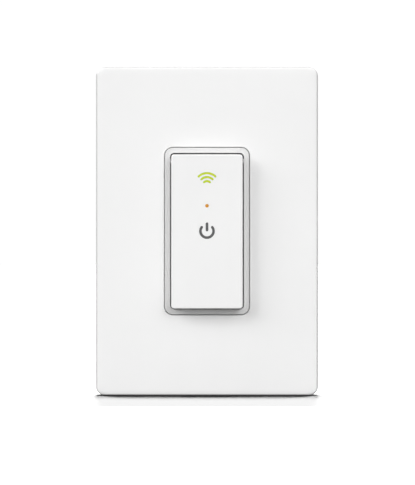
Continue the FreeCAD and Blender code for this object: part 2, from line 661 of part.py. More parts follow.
def wall_plate():
    """Snap-on plate: a shallow shell with a framed opening, catches, ribs and a pry notch."""
    body = new_body("wall_plate")
    outline = rectangle("plate_width", "plate_height", corner="plate_corner")
    pad(body, "block", [outline], "0", "plate_depth")
    bevel = dress(body, "front_bevel", "Chamfer", "bevel_width",
                  lambda shape: edges_at(shape, -number("plate_depth")))
    bevel.ChamferType = "Two distances"
    bevel.FlipDirection = True
    bevel.setExpression("Size2", full("bevel_drop"))
    dress(body, "front_roll", "Fillet", "plate_edge",
          lambda shape: edges_at(shape, -number("plate_depth - bevel_drop")))
    inside = rectangle("cavity_width", "cavity_height", corner="cavity_corner")
    pocket(body, "cavity", [inside], "0", "cavity_front")
    opening = rectangle("opening_width", "opening_height", corner="opening_corner")
    pocket(body, "opening", [opening], "cavity_front", "plate_depth")
    dress(body, "opening_round", "Fillet", "opening_edge",
          lambda shape: edges_at(shape, -number("plate_depth"), number("opening_width / 2"),
                                 number("opening_height / 2")))
    tooth = [("0", "strap_thickness - catch_gap"), ("catch_reach", "strap_thickness - catch_gap"),
             ("catch_reach", "strap_thickness - catch_gap - catch_land"), ("0", "catch_gap")]
    for level in ("-catch_spread", "0", "catch_spread"):
        teeth = [polygon([("%s((cavity_width) / 2 - (%s))" % (side, reach), "-(%s)" % front)
                          for reach, front in tooth]) for side in ("", "-")]
        pad(body, "side_catches", teeth, "(%s) - catch_length / 2" % level,
            "(%s) + catch_length / 2" % level, "XY_Plane")
    for level in ("-catch_offset", "catch_offset"):
        teeth = [polygon([("-(%s)" % front, "%s((cavity_height) / 2 - (%s))" % (side, reach))
                          for reach, front in tooth]) for side in ("", "-")]
        pad(body, "end_catches", teeth, "(%s) - catch_length / 2" % level,
            "(%s) + catch_length / 2" % level, "YZ_Plane")
    rib_foot = "opening_height / 2 + 2 * plate_wall"
    rib_top = "frame_height / 2 - frame_rim - plate_gap"
    ribs = corners(lambda x, y: rectangle("rib_thickness", "%s - (%s)" % (rib_top, rib_foot), x, y),
                   "rib_offset", "((%s + %s) / 2)" % (rib_top, rib_foot))
    pad(body, "end_ribs", ribs, "frame_front + rib_clearance", "cavity_front")
    notch = rectangle("pry_width", "plate_wall", "0", "-(plate_height - plate_wall) / 2")
    pocket(body, "pry_notch", [notch], "0", "pry_depth")
    return body


def plate_frame():
    """Screwed-on frame under the plate, with its own opening, rim, feet and screw seats."""
    body = new_body("plate_frame")
    outline = rectangle("frame_width", "frame_height", corner="frame_corner")
    opening = rectangle("device_width + 2 * frame_gap", "device_height + 2 * frame_gap")
    pad(body, "sheet", [outline, opening], "strap_thickness", "frame_front")
    inner_rim = rectangle("frame_width - 2 * frame_rim", "frame_height - 2 * frame_rim")
    rim = [rectangle("frame_width", "frame_height", corner="frame_corner"), inner_rim]
    pad(body, "rim", rim, "frame_front", "frame_front + frame_rim_height")
    reliefs = corners(lambda x, y: rectangle("relief_width", "relief_height", x, y,
                                             corner="2 * part_corner"),
                      "(frame_width + device_width) / 4", "relief_place")
    pocket(body, "reliefs", reliefs, "strap_thickness", "frame_front")
    feet = corners(lambda x, y: disc("foot_radius", x, y),
                   "(frame_width / 2 - foot_inset)", "(frame_height / 2 - foot_inset)")
    pad(body, "feet", feet, "foot_gap", "strap_thickness")
    heads = [disc("head_room", "0", side + "box_screw_place") for side in ("", "-")]
    pocket(body, "head_holes", heads, "strap_thickness", "frame_front")
    way = "box_screw_place - device_height / 2 - frame_gap"
    ways = [rectangle("2 * head_room", way, "0",
                      "%s(box_screw_place - (%s) / 2)" % (side, way)) for side in ("", "-")]
    pocket(body, "head_ways", ways, "strap_thickness", "frame_front")
    holes = [disc("thread_radius + thread_gap", "0", side + "plate_screw_place")
             for side in ("", "-")]
    pocket(body, "screw_holes", holes, "strap_thickness", "frame_front")

    def hole_rims(shape):
        reach = number("plate_screw_place")
        names = []
        for index, edge in enumerate(shape.Edges, start=1):
            box = edge.BoundBox
            middle = box.Center
            if abs(middle.x) < 0.01 and abs(abs(middle.z) - reach) < 0.01 and \
                    abs(box.YMin + number("frame_front")) < 0.002 and box.YLength < 0.002:
                names.append("Edge%d" % index)
        return names

    dress(body, "seats", "Chamfer", "seat_radius - thread_radius - thread_gap", hole_rims)
    return body


def mounting_strap():
    """Metal strap across the switch, with screw slots, break-off ears and an earth tab."""
    body = new_body("mounting_strap")
    band = rectangle("strap_width", "device_height + 2 * band_beyond", corner="ear_corner")
    pad(body, "band", [band], "0", "strap_thickness")
    pad(body, "ears", [rectangle("ear_width", "strap_length", corner="ear_corner")],
        "0", "strap_thickness")
    discs = corners(lambda x, y: disc("disc_radius", x, y), "disc_offset",
                    "(strap_length / 2 - disc_radius)")
    pad(body, "break_off_ears", discs, "0", "strap_thickness")
    pad(body, "earth_tab", [rectangle("tab_reach", "tab_width", "tab_reach / 2",
                                      "-box_screw_place", corner="2 * part_corner")],
        "ear_width / 2 - strap_thickness", "ear_width / 2", "YZ_Plane")
    pad(body, "earth_tab_root", [rectangle("tab_reach / 2", "tab_width", "tab_reach / 4",
                                           "-box_screw_place")],
        "ear_width / 2 - strap_thickness", "ear_width / 2", "YZ_Plane")
    window = rectangle("window_width", "window_height", corner="ear_corner")
    pocket(body, "window", [window], "0", "strap_thickness")
    slots = [obround("slot_length", "slot_width", "0", side + "box_screw_place")
             for side in ("", "-")]
    pocket(body, "screw_slots", slots, "0", "strap_thickness")
    holes = [disc("thread_radius + thread_gap", "0", side + "plate_screw_place")
             for side in ("", "-")]
    pocket(body, "plate_screw_holes", holes, "0", "strap_thickness")
    bosses = corners(lambda x, y: disc("strap_hole", x, y), "boss_x", "boss_z")
    pocket(body, "boss_holes", bosses, "0", "strap_thickness")
    scores = corners(lambda x, y: rectangle("score_width", "score_length", x, y),
                     "(ear_width / 2 - 3 * score_width)", "(strap_length / 2 - disc_radius)")
    pocket(body, "break_off_slits", scores, "0", "strap_thickness")
    pocket(body, "earth_hole", [disc("thread_radius + thread_gap", "tab_reach / 2",
                                     "-box_screw_place")],
           "ear_width / 2 - strap_thickness", "ear_width / 2", "YZ_Plane")
    return body


def head_slot(body, name, low, high, plane, x="0", y="0", turn=False):
    """The driver's slot across a screw head, between two levels."""
    long = "4 * terminal_head_radius"
    size = ("slot_cut", long) if turn else (long, "slot_cut")
    return pocket(body, name, [rectangle(size[0], size[1], x, y)], low, high, plane)


def box_screws():
    """The two screws that hold the switch to its box, with a plain neck behind the head."""
    body = new_body("box_screws")
    seat = "-strap_thickness"
    top = "-(strap_thickness + box_head_height)"
    neck_end = "retainer_thickness + retainer_gap"
    points = [(top, "0"), (top, "box_head_radius - head_round"),
              ("(%s) + head_round" % top, "box_head_radius"),
              (seat, "box_head_radius"), (seat, "neck_radius"), (neck_end, "neck_radius"),
              (neck_end, "thread_radius"), ("box_screw_length - head_round", "thread_radius"),
              ("box_screw_length", "thread_radius - head_round"), ("box_screw_length", "0")]
    turned(body, "screw", points, centre="box_screw_place")
    head_slot(body, "slot", "strap_thickness + box_head_height - slot_cut_depth",
              "strap_thickness + box_head_height", "XZ_Plane", y="box_screw_place")
    mirror(body, "pair", None, "XY_Plane")
    return body


def plate_screws():
    """The two flat-headed screws that hold the plate frame to the strap."""
    body = new_body("plate_screws")
    face = "-frame_front"
    cone = "plate_head_radius - thread_radius"
    points = [(face, "0"), (face, "plate_head_radius"), ("(%s) + (%s)" % (face, cone),
              "thread_radius"), ("plate_screw_length - head_round", "thread_radius"),
              ("plate_screw_length", "thread_radius - head_round"), ("plate_screw_length", "0")]
    turned(body, "screw", points, centre="plate_screw_place")
    head_slot(body, "slot", "frame_front - slot_cut_depth", "frame_front", "XZ_Plane",
              y="plate_screw_place")
    mirror(body, "pair", None, "XY_Plane")
    return body


def screw_retainers():
    """Fibre squares behind the strap, which keep the box screws from falling out."""
    body = new_body("screw_retainers")
    shapes = []
    for side in ("", "-"):
        middle = side + "box_screw_place"
        shapes.append(rectangle("retainer_size", "retainer_size", "0", middle, corner="part_corner"))
        shapes.append(disc("neck_radius + neck_gap", "0", middle))
    pad(body, "squares", shapes, "-retainer_thickness", "0")
    return body


def ground_screw():
    """Green earth screw in the strap's tab, pointing inwards across the switch."""
    body = new_body("ground_screw")
    seat = "ear_width / 2"
    top = "ear_width / 2 + earth_head_height"
    tip = "ear_width / 2 - earth_screw_length"
    points = [(top, "0"), (top, "earth_head_radius - head_round"),
              ("(%s) - head_round" % top, "earth_head_radius"), (seat, "earth_head_radius"),
              (seat, "thread_radius"), ("(%s) + head_round" % tip, "thread_radius"),
              (tip, "thread_radius - head_round"), (tip, "0")]
    turned(body, "screw", points, centre="-box_screw_place", plane="XZ_Plane",
           shift="-tab_reach / 2")
    head_slot(body, "slot", "(%s) - slot_cut_depth" % top, top, "YZ_Plane",
              x="tab_reach / 2", y="-box_screw_place", turn=True)
    return body


def front_frame():
    """Moulded front of the switch: floor, flange, nose ring, hinge bores and screw bosses."""
    body = new_body("front_frame")
    flange = rectangle("device_width", "device_height", corner="nose_corner")
    pad(body, "flange", [flange], "strap_thickness", "floor_front")
    nose = rectangle("nose_width", "nose_height", corner="nose_corner")
    pad(body, "nose", [nose], "floor_front", "nose_front")
    dress(body, "nose_round", "Fillet", "nose_edge",
          lambda shape: edges_at(shape, -number("nose_front")))
    well = rectangle("well_width", "well_height", corner="paddle_corner + paddle_gap")
    pocket(body, "well", [well], "floor_front", "nose_front")
    bosses = corners(lambda x, y: disc("frame_boss_radius", x, y), "boss_x", "boss_z")
    pad(body, "bosses", bosses, "0", "boss_top")
    bores = corners(lambda x, y: disc("case_screw_radius + thread_gap", x, y), "boss_x", "boss_z")
    pocket(body, "boss_bores", bores, "0", "case_screw_tip + tip_room")
    lamp_window = rectangle("guide_width + 4 * window_gap", "guide_height + 4 * window_gap",
                            "0", "signal_middle")
    press_window = rectangle("tact_size + 2 * window_gap", "tact_size + 2 * window_gap",
                             "0", "-tact_place")
    windows = [lamp_window, disc("status_base + window_gap", "0", "status_place"), press_window]
    pocket(body, "windows", windows, "strap_thickness", "floor_front")
    pad(body, "spring_post", [disc("post_radius", "0", "-spring_place")], "floor_front",
        "floor_front + post_height")
    bore = disc("pin_radius + pin_gap", "-hinge_level", "hinge_place")
    for side in (1, -1):
        near, far = span(side, "well_width / 2", "well_width / 2 + pin_bite + pin_end_gap")
        pocket(body, "hinge_bore", [bore], near, far, "YZ_Plane")
    slots = [rectangle("lip_width + 2 * lip_side_gap", "lip_reach + lip_side_gap", side + "lip_offset",
                       "-(paddle_bottom + (lip_reach + lip_side_gap) / 2)")
             for side in ("", "-")]
    pocket(body, "stop_pockets", slots, "floor_front", "lip_front + lip_gap")
    return body


def signal_arcs(margin):
    """The three arcs of the signal symbol, widened by a margin on each side."""
    return [arc_band("signal_radius - %d * signal_step" % step, "signal_stroke + 2 * (%s)" % margin,
                     "signal_angle", "signal_place") for step in (0, 1, 2)]


def power_outlines(margin):
    """The broken ring and the bar of the power symbol, widened by a margin on each side."""
    stroke = "power_stroke + 2 * (%s)" % margin
    ring = arc_band("power_radius", stroke, "180 - power_gap_angle", "power_place", upward=False)
    bar = obround("power_bar_top + power_bar_foot + 2 * (%s)" % margin, stroke, "0",
                  "power_place + (power_bar_top - power_bar_foot) / 2", upright=True)
    return [ring, bar]


def paddle():
    """Hollow rocker with hinge pins, stop lips, lens seats, ribs, presser and spring post."""
    body = new_body("paddle")
    outline = rectangle("paddle_width", "paddle_height", "0", "-paddle_drop", corner="paddle_corner")
    pad(body, "block", [outline], "skirt_level", "paddle_front")
    dress(body, "front_round", "Fillet", "paddle_edge",
          lambda shape: edges_at(shape, -number("paddle_front")))
    inside = rectangle("paddle_width - 2 * paddle_wall", "paddle_height - 2 * paddle_wall",
                       "0", "-paddle_drop")
    pocket(body, "hollow", [inside], "skirt_level", "paddle_inside")
    web_level = "paddle_inside - web_height"
    inner_width = "paddle_width - paddle_wall"
    inner_height = "paddle_height - paddle_wall"
    uprights = [rectangle("web_thickness", inner_height, side + "(paddle_width / 2 - web_inset)",
                          "-paddle_drop")
                for side in ("", "-")]
    pad(body, "upright_webs", uprights, web_level, "paddle_inside")
    crossings = [rectangle(inner_width, "web_thickness", "0", place)
                 for place in ("status_place + status_base + 2 * web_thickness",
                               "(status_place - tact_place) / 2", "-(tact_place + spring_place) / 2")]
    pad(body, "cross_webs", crossings, web_level, "paddle_inside")
    fit = "2 * lens_clearance"
    seat = [rectangle("lens_width + 2 * web_thickness + " + fit,
                      "lens_height + 2 * web_thickness + " + fit, "0", "signal_middle"),
            rectangle("lens_width + " + fit, "lens_height + " + fit, "0", "signal_middle")]
    pad(body, "signal_seat", seat, web_level, "paddle_inside")
    pad(body, "status_seat", [disc("status_base + web_thickness + lens_clearance", "0", "status_place"),
                              disc("status_base + lens_clearance", "0", "status_place")],
        web_level, "paddle_inside")
    pad(body, "presser", [disc("boss_radius", "0", "-tact_place")], "press_level", "paddle_inside")
    fin = rectangle("4 * boss_radius", "web_thickness", "0", "-tact_place")
    pad(body, "presser_fin", [fin], "press_level + 2 * plunger_out", "paddle_inside")
    pad(body, "spring_post", [disc("post_radius", "0", "-spring_place")],
        "paddle_inside - post_height", "paddle_inside")
    pin = disc("pin_radius", "-hinge_level", "hinge_place")
    for side in (1, -1):
        near, far = span(side, "paddle_width / 2 - paddle_wall", "well_width / 2 + pin_bite")
        pad(body, "hinge_pin", [pin], near, far, "YZ_Plane")
    lips = [rectangle("lip_width", "lip_reach + paddle_wall", side + "lip_offset",
                      "-(paddle_bottom + (lip_reach - paddle_wall) / 2)") for side in ("", "-")]
    pad(body, "stop_lips", lips, "skirt_level", "lip_front")
    slots = signal_arcs("lens_clearance")
    pocket(body, "symbol_slots", slots + [disc("status_radius + lens_clearance", "0", "status_place")],
           "paddle_inside", "paddle_front")
    pocket(body, "power_recess", power_outlines("lens_clearance"),
           "paddle_front - power_depth", "paddle_front")
    return body


def signal_lens():
    """Clear lens behind the paddle's face: three arcs in its slots, a base and a light guide."""
    body = new_body("signal_lens")
    base = rectangle("lens_width", "lens_height", "0", "signal_middle")
    pad(body, "base", [base], "paddle_inside - lens_base", "paddle_inside")
    pad(body, "arcs", signal_arcs("0"), "paddle_inside", "paddle_front")
    guide = rectangle("guide_width", "guide_height", "0", "signal_middle", corner="part_corner")
    pad(body, "guide", [guide], "guide_end", "paddle_inside - lens_base")
    return body


def status_lens():
    """Clear round lens of the status lamp, with its light guide."""
    body = new_body("status_lens")
    pad(body, "base", [disc("status_base", "0", "status_place")],
        "paddle_inside - lens_base", "paddle_inside")
    pad(body, "pip", [disc("status_radius", "0", "status_place")], "paddle_inside", "paddle_front")
    pad(body, "guide", [disc("status_base - web_thickness / 2", "0", "status_place")],
        "guide_end", "paddle_inside - lens_base")
    return body


def power_symbol():
    """Dark inlay in the paddle's face: a broken ring and its bar."""
    body = new_body("power_symbol")
    pad(body, "inlay", power_outlines("0"), "paddle_front - power_depth", "paddle_front")
    return body


def return_spring():
    """Coil spring between the floor and the paddle, round a post at each end."""
    body = new_body("return_spring")
    start = "-(floor_front + wire_radius + spring_gap)"
    length = "paddle_inside - floor_front - 2 * (wire_radius + spring_gap)"
    sketch = draw_sketch(body, "wire", [disc("wire_radius", start, "spring_radius - spring_place")],
                         "0", "YZ_Plane")
    pen = Pen(sketch)
    pen.count = 1000
    ends = (start, "(%s) - (%s)" % (start, length))
    axis = pen.line((number(ends[0]), number("-spring_place")),
                    (number(ends[1]), number("-spring_place")), helper=True)
    pen.place(axis, 1, ends[0], "-spring_place")
    pen.place(axis, 2, ends[1], "-spring_place")
    coil = body.newObject("PartDesign::AdditiveHelix", "coil")
    coil.Profile = sketch
    coil.ReferenceAxis = (sketch, ["Axis0"])
    coil.Mode = "height-turns-angle"
    coil.setExpression("Height", full(length))
    coil.setExpression("Turns", full("spring_turns"))
    return body


def tact_switch():
    """Square push switch on the control board, with a blind bore for its plunger."""
    body = new_body("tact_switch")
    case = rectangle("tact_size", "tact_size", "0", "-tact_place", corner="part_corner")
    pad(body, "case", [case], "board_front", "tact_front")
    pocket(body, "bore", [disc("plunger_radius + plunger_gap", "0", "-tact_place")],
           "tact_front - plunger_depth - plunger_room", "tact_front")
    place = "(tact_size / 2 - rivet_inset)"
    rivets = [disc("rivet_radius", a + place, "-tact_place %s %s" % (b, place))
              for a in ("", "-") for b in ("+", "-")]
    pad(body, "rivets", rivets, "tact_front", "tact_front + rivet_height")
    return body


def tact_plunger():
    """Round plunger of the push switch."""
    body = new_body("tact_plunger")
    stem = [("-(plunger_tip)", "0"), ("-(plunger_tip)", "plunger_radius - plunger_edge"),
            ("-(plunger_tip - plunger_edge)", "plunger_radius"),
            ("-(tact_front - plunger_depth)", "plunger_radius"), ("-(tact_front - plunger_depth)", "0")]
    turned(body, "stem", stem, centre="-tact_place")
    return body


def insulating_sheet():
    """Thin sheet between strap and control board, cut out for the lamps and the push switch."""
    body = new_body("insulating_sheet")
    pad(body, "sheet", [cross("board_width", "board_height", "notch_x", "notch_z")],
        "-sheet_thickness", "0")
    windows = [rectangle("lamp_width + 2 * window_gap", "lamp_width + 2 * window_gap", "0", place)
               for place in ("signal_middle", "status_place")]
    windows.append(rectangle("tact_size + 2 * window_gap", "tact_size + 2 * window_gap", "0",
                             "-tact_place"))
    pocket(body, "windows", windows, "-sheet_thickness", "0")
    return body


def control_board():
    """Circuit board behind the strap, notched round the housing's screw posts."""
    body = new_body("control_board")
    pad(body, "board", [cross("board_width", "board_height", "notch_x", "notch_z")],
        "board_back", "board_front")
    return body


def lamp(label, size, place):
    """Small surface lamp on the control board, with a lens on its case."""
    body = new_body(label)
    top = "board_front + lamp_height * lamp_case_share"
    pad(body, "case", [rectangle(size, size, "0", place)], "board_front", top)
    pad(body, "lens", [disc("%s / 3" % size, "0", place)], top, "board_front + lamp_height")
    return body


def signal_led():
    """Lamp behind the signal lens."""
    return lamp("signal_led", "lamp_width", "signal_middle")


def status_led():
    """Lamp behind the status lens."""
    return lamp("status_led", "small_lamp", "status_place")


def wifi_module():
    """Radio module on the back of the control board, with a row of half holes at each side."""
    body = new_body("wifi_module")
    outline = rectangle("module_width", "module_height", "0", "module_place")
    pad(body, "board", [outline], "board_back - module_thickness", "board_back")
    step = "module_pitch"
    holes = [disc("module_pitch / 4", side + "module_width / 2", "module_place + (%g) * %s" % (row, step))
             for side in ("", "-") for row in (-3, -2, -1, 0, 1, 2, 3)]
    pocket(body, "half_holes", holes, "board_back - module_thickness", "board_back")
    return body


def shield_can():
    """Pressed metal can over the radio module's chips."""
    body = new_body("shield_can")
    back = "board_back - module_thickness"
    middle = "module_place - can_drop"
    outline = rectangle("can_width", "can_height", "0", middle, corner="3 * can_sheet")
    pad(body, "can", [outline], "%s - can_depth" % back, back)
    inside = rectangle("can_width - 2 * can_sheet", "can_height - 2 * can_sheet", "0", middle,
                       corner="2 * can_sheet")
    pocket(body, "inside", [inside], "%s - can_depth + can_sheet" % back, back)
    return body


def board_header():
    """Two strips and the row of pins that join the boards."""
    body = new_body("board_header")
    x = "-(relay_width / 2 + header_gap + header_width / 2)"
    strip = rectangle("header_width", "5 * header_width", x, "-relay_place")
    pad(body, "rear_strip", [strip], "power_front", "power_front + header_width")
    pins = [rectangle("header_width / 4", "header_width / 4", x,
                      "-relay_place + (%d) * header_width" % row) for row in (-2, -1, 0, 1, 2)]
    pad(body, "pins", pins, "power_front + header_width / 2", "board_back - header_width / 2")
    pad(body, "front_strip", [strip], "board_back - header_width", "board_back")
    return body


def power_board():
    """Rear circuit board, which stands on four pillars."""
    body = new_body("power_board")
    outline = rectangle("power_width", "power_height", corner="part_corner")
    pad(body, "board", [outline], "power_back", "power_front")
    pins = corners(lambda x, y: disc("pillar_pin + thread_gap", x, y), "pillar_x", "pillar_z")
    pocket(body, "pin_holes", pins, "power_back", "power_front")
    return body


def relay():
    """Sealed relay that switches the lamp."""
    body = new_body("relay")
    outline = rectangle("relay_width", "relay_height", "0", "-relay_place", corner="part_corner")
    pad(body, "case", [outline], "power_front", "relay_top")
    dress(body, "front_edges", "Chamfer", "relay_edge",
          lambda shape: edges_at(shape, -number("relay_top")))
    return body


def transformer():
    """Small transformer: a core round a taped winding."""
    body = new_body("transformer")
    core = rectangle("core_width", "core_height", "0", "core_place")
    pad(body, "core", [core], "power_front", "power_front + core_depth")
    sides = [rectangle("core_width * (1 - 2 * winding_share)", "2 * winding_reach", "0",
                       "core_place %s core_height / 2" % side) for side in ("+", "-")]
    pad(body, "winding", sides, "power_front + core_depth * winding_share",
        "power_front + core_depth * (1 - winding_share)")
    return body


def bulk_capacitor():
    """Upright can capacitor with a rolled groove near its foot."""
    body = new_body("bulk_capacitor")
    foot = "-power_front"
    top = "-(power_front + cap_length)"
    points = [(top, "0"), (top, "cap_radius - cap_round"),
              ("(%s) + cap_round" % top, "cap_radius")]
    points += [("(%s) - %d * cap_round" % (foot, step), radius)
               for step, radius in ((6, "cap_radius"), (5, "cap_radius - cap_round"), (4, "cap_radius"))]
    points += [(foot, "cap_radius"), (foot, "0")]
    turned(body, "can", points, centre="cap_place",
           shift="-(power_width / 2 - cap_radius - component_edge)")
    return body


def varistor():
    """Coated disc on edge, which takes up surges."""
    body = new_body("varistor")
    z = "power_height / 2 - component_edge - 2 * varistor_radius"
    disc_level = "power_front + varistor_radius + varistor_lift"
    pad(body, "disc", [disc("varistor_radius", "-(%s)" % disc_level, z)],
        "varistor_offset", "varistor_offset + varistor_width", "YZ_Plane")
    foot = rectangle("varistor_width / 2", "varistor_radius", "varistor_offset + varistor_width / 2", z)
    pad(body, "foot", [foot], "power_front", disc_level)
    return body


def fuse():
    """Upright pill fuse."""
    body = new_body("fuse")
    top = "-(power_front + fuse_length)"
    points = [(top, "0"), (top, "fuse_radius - relay_edge"), ("(%s) + relay_edge" % top, "fuse_radius"),
              ("-power_front", "fuse_radius"), ("-power_front", "0")]
    turned(body, "pill", points, centre="power_height / 2 - fuse_radius - component_edge",
           shift="power_width / 2 - fuse_radius - component_edge")
    return body


def rectifier():
    """Flat moulded bridge rectifier."""
    body = new_body("rectifier")
    x = "power_width / 2 - component_edge - rectifier_width / 2"
    z = "power_height / 2 - 2 * fuse_radius - 2 * component_edge - rectifier_width / 2"
    pad(body, "case", [rectangle("rectifier_width", "rectifier_width", x, z)],
        "power_front", "power_front + rectifier_width / 2")
    dress(body, "front_edges", "Chamfer", "relay_edge",
          lambda shape: edges_at(shape, -number("power_front + rectifier_width / 2")))
    return body


TERMINALS = (("line", 1, "terminal_place"), ("load", 1, "-terminal_place"),
             ("neutral", -1, "terminal_place"))


def terminal(name, side, place):
    """Brass plate in a wire recess, with a tapped hole and a tail to the power board."""
    body = new_body(name + "_terminal")
    near, far = span(side, "tower_x", "tower_x + brass_thickness")
    plate = rectangle("brass_length", "recess_width - 2 * brass_gap",
                      "-brass_front + brass_length / 2", place)
    pad(body, "plate", [plate], near, far, "YZ_Plane")
    inner = "power_width / 2 - brass_tail"
    tail = rectangle("tower_x + brass_thickness - (%s)" % inner, "tail_width",
                     "%d * (tower_x + brass_thickness + %s) / 2" % (side, inner), place)
    pad(body, "tail", [tail], "power_back - brass_thickness", "power_back")
    hole = disc("thread_radius + thread_gap", "-terminal_screw_level", place)
    pocket(body, "tapped_hole", [hole], near, far, "YZ_Plane")
    return body


def terminal_clamp(name, side, place):
    """Steel plate that presses the wire against the terminal."""
    body = new_body(name + "_clamp")
    near, far = span(side, "clamp_x", "clamp_x + clamp_thickness")
    outline = rectangle("clamp_size", "clamp_size", "-terminal_screw_level", place, corner="part_corner")
    hole = disc("thread_radius + 3 * thread_gap", "-terminal_screw_level", place)
    pad(body, "plate", [outline, hole], near, far, "YZ_Plane")
    return body


def terminal_screw(name, side, place):
    """Screw of a terminal, its head inside the recess."""
    body = new_body(name + "_screw")
    sign = "%d * " % side
    seat, top = "clamp_x + clamp_thickness", "clamp_x + clamp_thickness + terminal_head_height"
    tip = "tower_x - terminal_tip"
    points = [(top, "0"), (top, "terminal_head_radius - head_round"),
              (top + " - head_round", "terminal_head_radius"), (seat, "terminal_head_radius"),
              (seat, "thread_radius"), (tip + " + head_round", "thread_radius"),
              (tip, "thread_radius - head_round"), (tip, "0")]
    turned(body, "screw", [(sign + "(%s)" % along, radius) for along, radius in points],
           centre=place, shift="terminal_screw_level", plane="XZ_Plane")
    near, far = span(side, top + " - slot_cut_depth", top)
    head_slot(body, "slot", near, far, "YZ_Plane", x="-terminal_screw_level", y=place, turn=True)
    return body


def rear_housing():
    """Deep moulded case with screw posts, pillars, ledges and three open wire recesses."""
    body = new_body("rear_housing")
    outline = rectangle("device_width", "device_height", corner="housing_corner")
    pad(body, "block", [outline], "-housing_depth", "0")
    dress(body, "rear_round", "Fillet", "housing_edge",
          lambda shape: edges_at(shape, number("housing_depth")))
    inside = rectangle("device_width - 2 * housing_wall", "device_height - 2 * housing_wall",
                       corner="max(housing_corner - housing_wall; 0.5)")
    pocket(body, "inside", [inside], "housing_inside", "0")
    posts = corners(lambda x, y: disc("case_post_radius", x, y), "boss_x", "boss_z")
    pad(body, "posts", posts, "housing_inside - housing_wall / 2", "0")
    pillars = corners(lambda x, y: disc("pillar_radius", x, y), "pillar_x", "pillar_z")
    pad(body, "pillars", pillars, "housing_inside - housing_wall / 2", "power_back")
    pins = corners(lambda x, y: disc("pillar_pin", x, y), "pillar_x", "pillar_z")
    pad(body, "pillar_pins", pins, "power_back", "power_front")
    ledges = [rectangle("housing_wall", "ledge_width", side + "(device_width / 2 - housing_wall)")
              for side in ("", "-")]
    ledges += [rectangle("ledge_width", "housing_wall", "0", side + "(device_height / 2 - housing_wall)")
               for side in ("", "-")]
    pad(body, "ledges", ledges, "housing_inside - housing_wall / 2", "board_back")
    wall_middle = "(device_width / 2 - housing_wall / 2)"
    inner = "(tower_x - tower_wall)"
    towers = [rectangle("%s - %s" % (wall_middle, inner), "recess_width + 2 * tower_wall",
                        "%d * (%s + %s) / 2" % (side, wall_middle, inner), place)
              for _, side, place in TERMINALS]
    pad(body, "towers", towers, "housing_inside - housing_wall / 2", "tower_front + tower_wall")
    outer = "(device_width / 2 + housing_wall)"
    recesses = [rectangle("%s - tower_x" % outer, "recess_width", "%d * (%s + tower_x) / 2" % (side, outer),
                          place) for _, side, place in TERMINALS]
    pocket(body, "wire_recesses", recesses, "-housing_depth", "tower_front")
    for _, side, place in TERMINALS:
        near, far = span(side, "tower_x - tower_wall", "tower_x")
        way = disc("thread_radius + 6 * thread_gap", "-terminal_screw_level", place)
        pocket(body, "screw_way", [way], near, far, "YZ_Plane")
        slot = rectangle("brass_thickness + 2 * brass_gap", "tail_width + 2 * brass_gap",
                         "-power_back + brass_thickness / 2", place)
        pocket(body, "tail_slot", [slot], near, far, "YZ_Plane")
    around = [rectangle("device_width + housing_wall", "device_height + housing_wall"),
              rectangle("device_width - 2 * groove_depth", "device_height - 2 * groove_depth",
                        corner="housing_corner - groove_depth")]
    pocket(body, "rim_groove", around, "-(groove_place + groove_width)", "-groove_place")
    panel = rectangle("rear_panel_width", "rear_panel_height", corner="2 * part_corner")
    pocket(body, "rear_panel", [panel], "-housing_depth", "-housing_depth + rear_panel_depth")
    gauge = rectangle("gauge_width", "gauge_length", "-(device_width - recess_depth) / 2",
                      "-terminal_place")
    pocket(body, "strip_gauge", [gauge], "-housing_depth", "-housing_depth + 2 * rear_panel_depth")
    vents = [rectangle("vent_width", "vent_length", "%s(vent_offset + %d * vent_step)" % (a, step),
                       "vent_inset + vent_length / 2") for a in ("", "-") for step in (0, 1, 2)]
    for side in (1, -1):
        near, far = span(side, "device_height / 2 - 1.5 * housing_wall", "device_height / 2")
        pocket(body, "vents", vents, near, far, "XY_Plane")
    bores = corners(lambda x, y: disc("case_screw_radius + case_screw_gap", x, y), "boss_x", "boss_z")
    pocket(body, "screw_bores", bores, "-case_post_seat", "0")
    heads = corners(lambda x, y: disc("case_head_radius + 2 * case_screw_gap", x, y),
                    "boss_x", "boss_z")
    pocket(body, "head_bores", heads, "-housing_depth", "-case_post_seat")
    return body


def housing_screws():
    """Four screws, driven from the rear through the housing into the front frame."""
    body = new_body("housing_screws")
    seat = "case_post_seat"
    top = "case_post_seat + case_head_height"
    points = [("-case_screw_tip", "0"), ("-case_screw_tip", "case_screw_radius - head_round"),
              ("-case_screw_tip + head_round", "case_screw_radius"), (seat, "case_screw_radius"),
              (seat, "case_head_radius"), (top + " - head_round", "case_head_radius"),
              (top, "case_head_radius - head_round"), (top, "0")]
    for across in ("", "-"):
        for up in ("", "-"):
            turned(body, "screw", points, centre=up + "boss_z", shift=across + "boss_x")
    slots = corners(lambda x, y: rectangle("3 * case_head_radius", "slot_cut", x, y),
                    "boss_x", "boss_z")
    pocket(body, "slots", slots, "-(%s)" % top, "-(%s) + slot_cut_depth" % top)
    return body


def terminal_parts():
    """Terminal plate, clamp and screw for each wire."""
    makers = (terminal, terminal_clamp, terminal_screw)
    return [make(name, side, place) for name, side, place in TERMINALS for make in makers]


BUILDERS = [wall_plate, plate_frame, mounting_strap, box_screws, plate_screws, screw_retainers,
            ground_screw, front_frame, paddle, signal_lens, status_lens, power_symbol,
            return_spring, tact_switch, tact_plunger, insulating_sheet, control_board,
            signal_led, status_led, wifi_module, shield_can, board_header, power_board, relay,
            transformer, bulk_capacitor, varistor, fuse, rectifier, rear_housing, housing_screws]


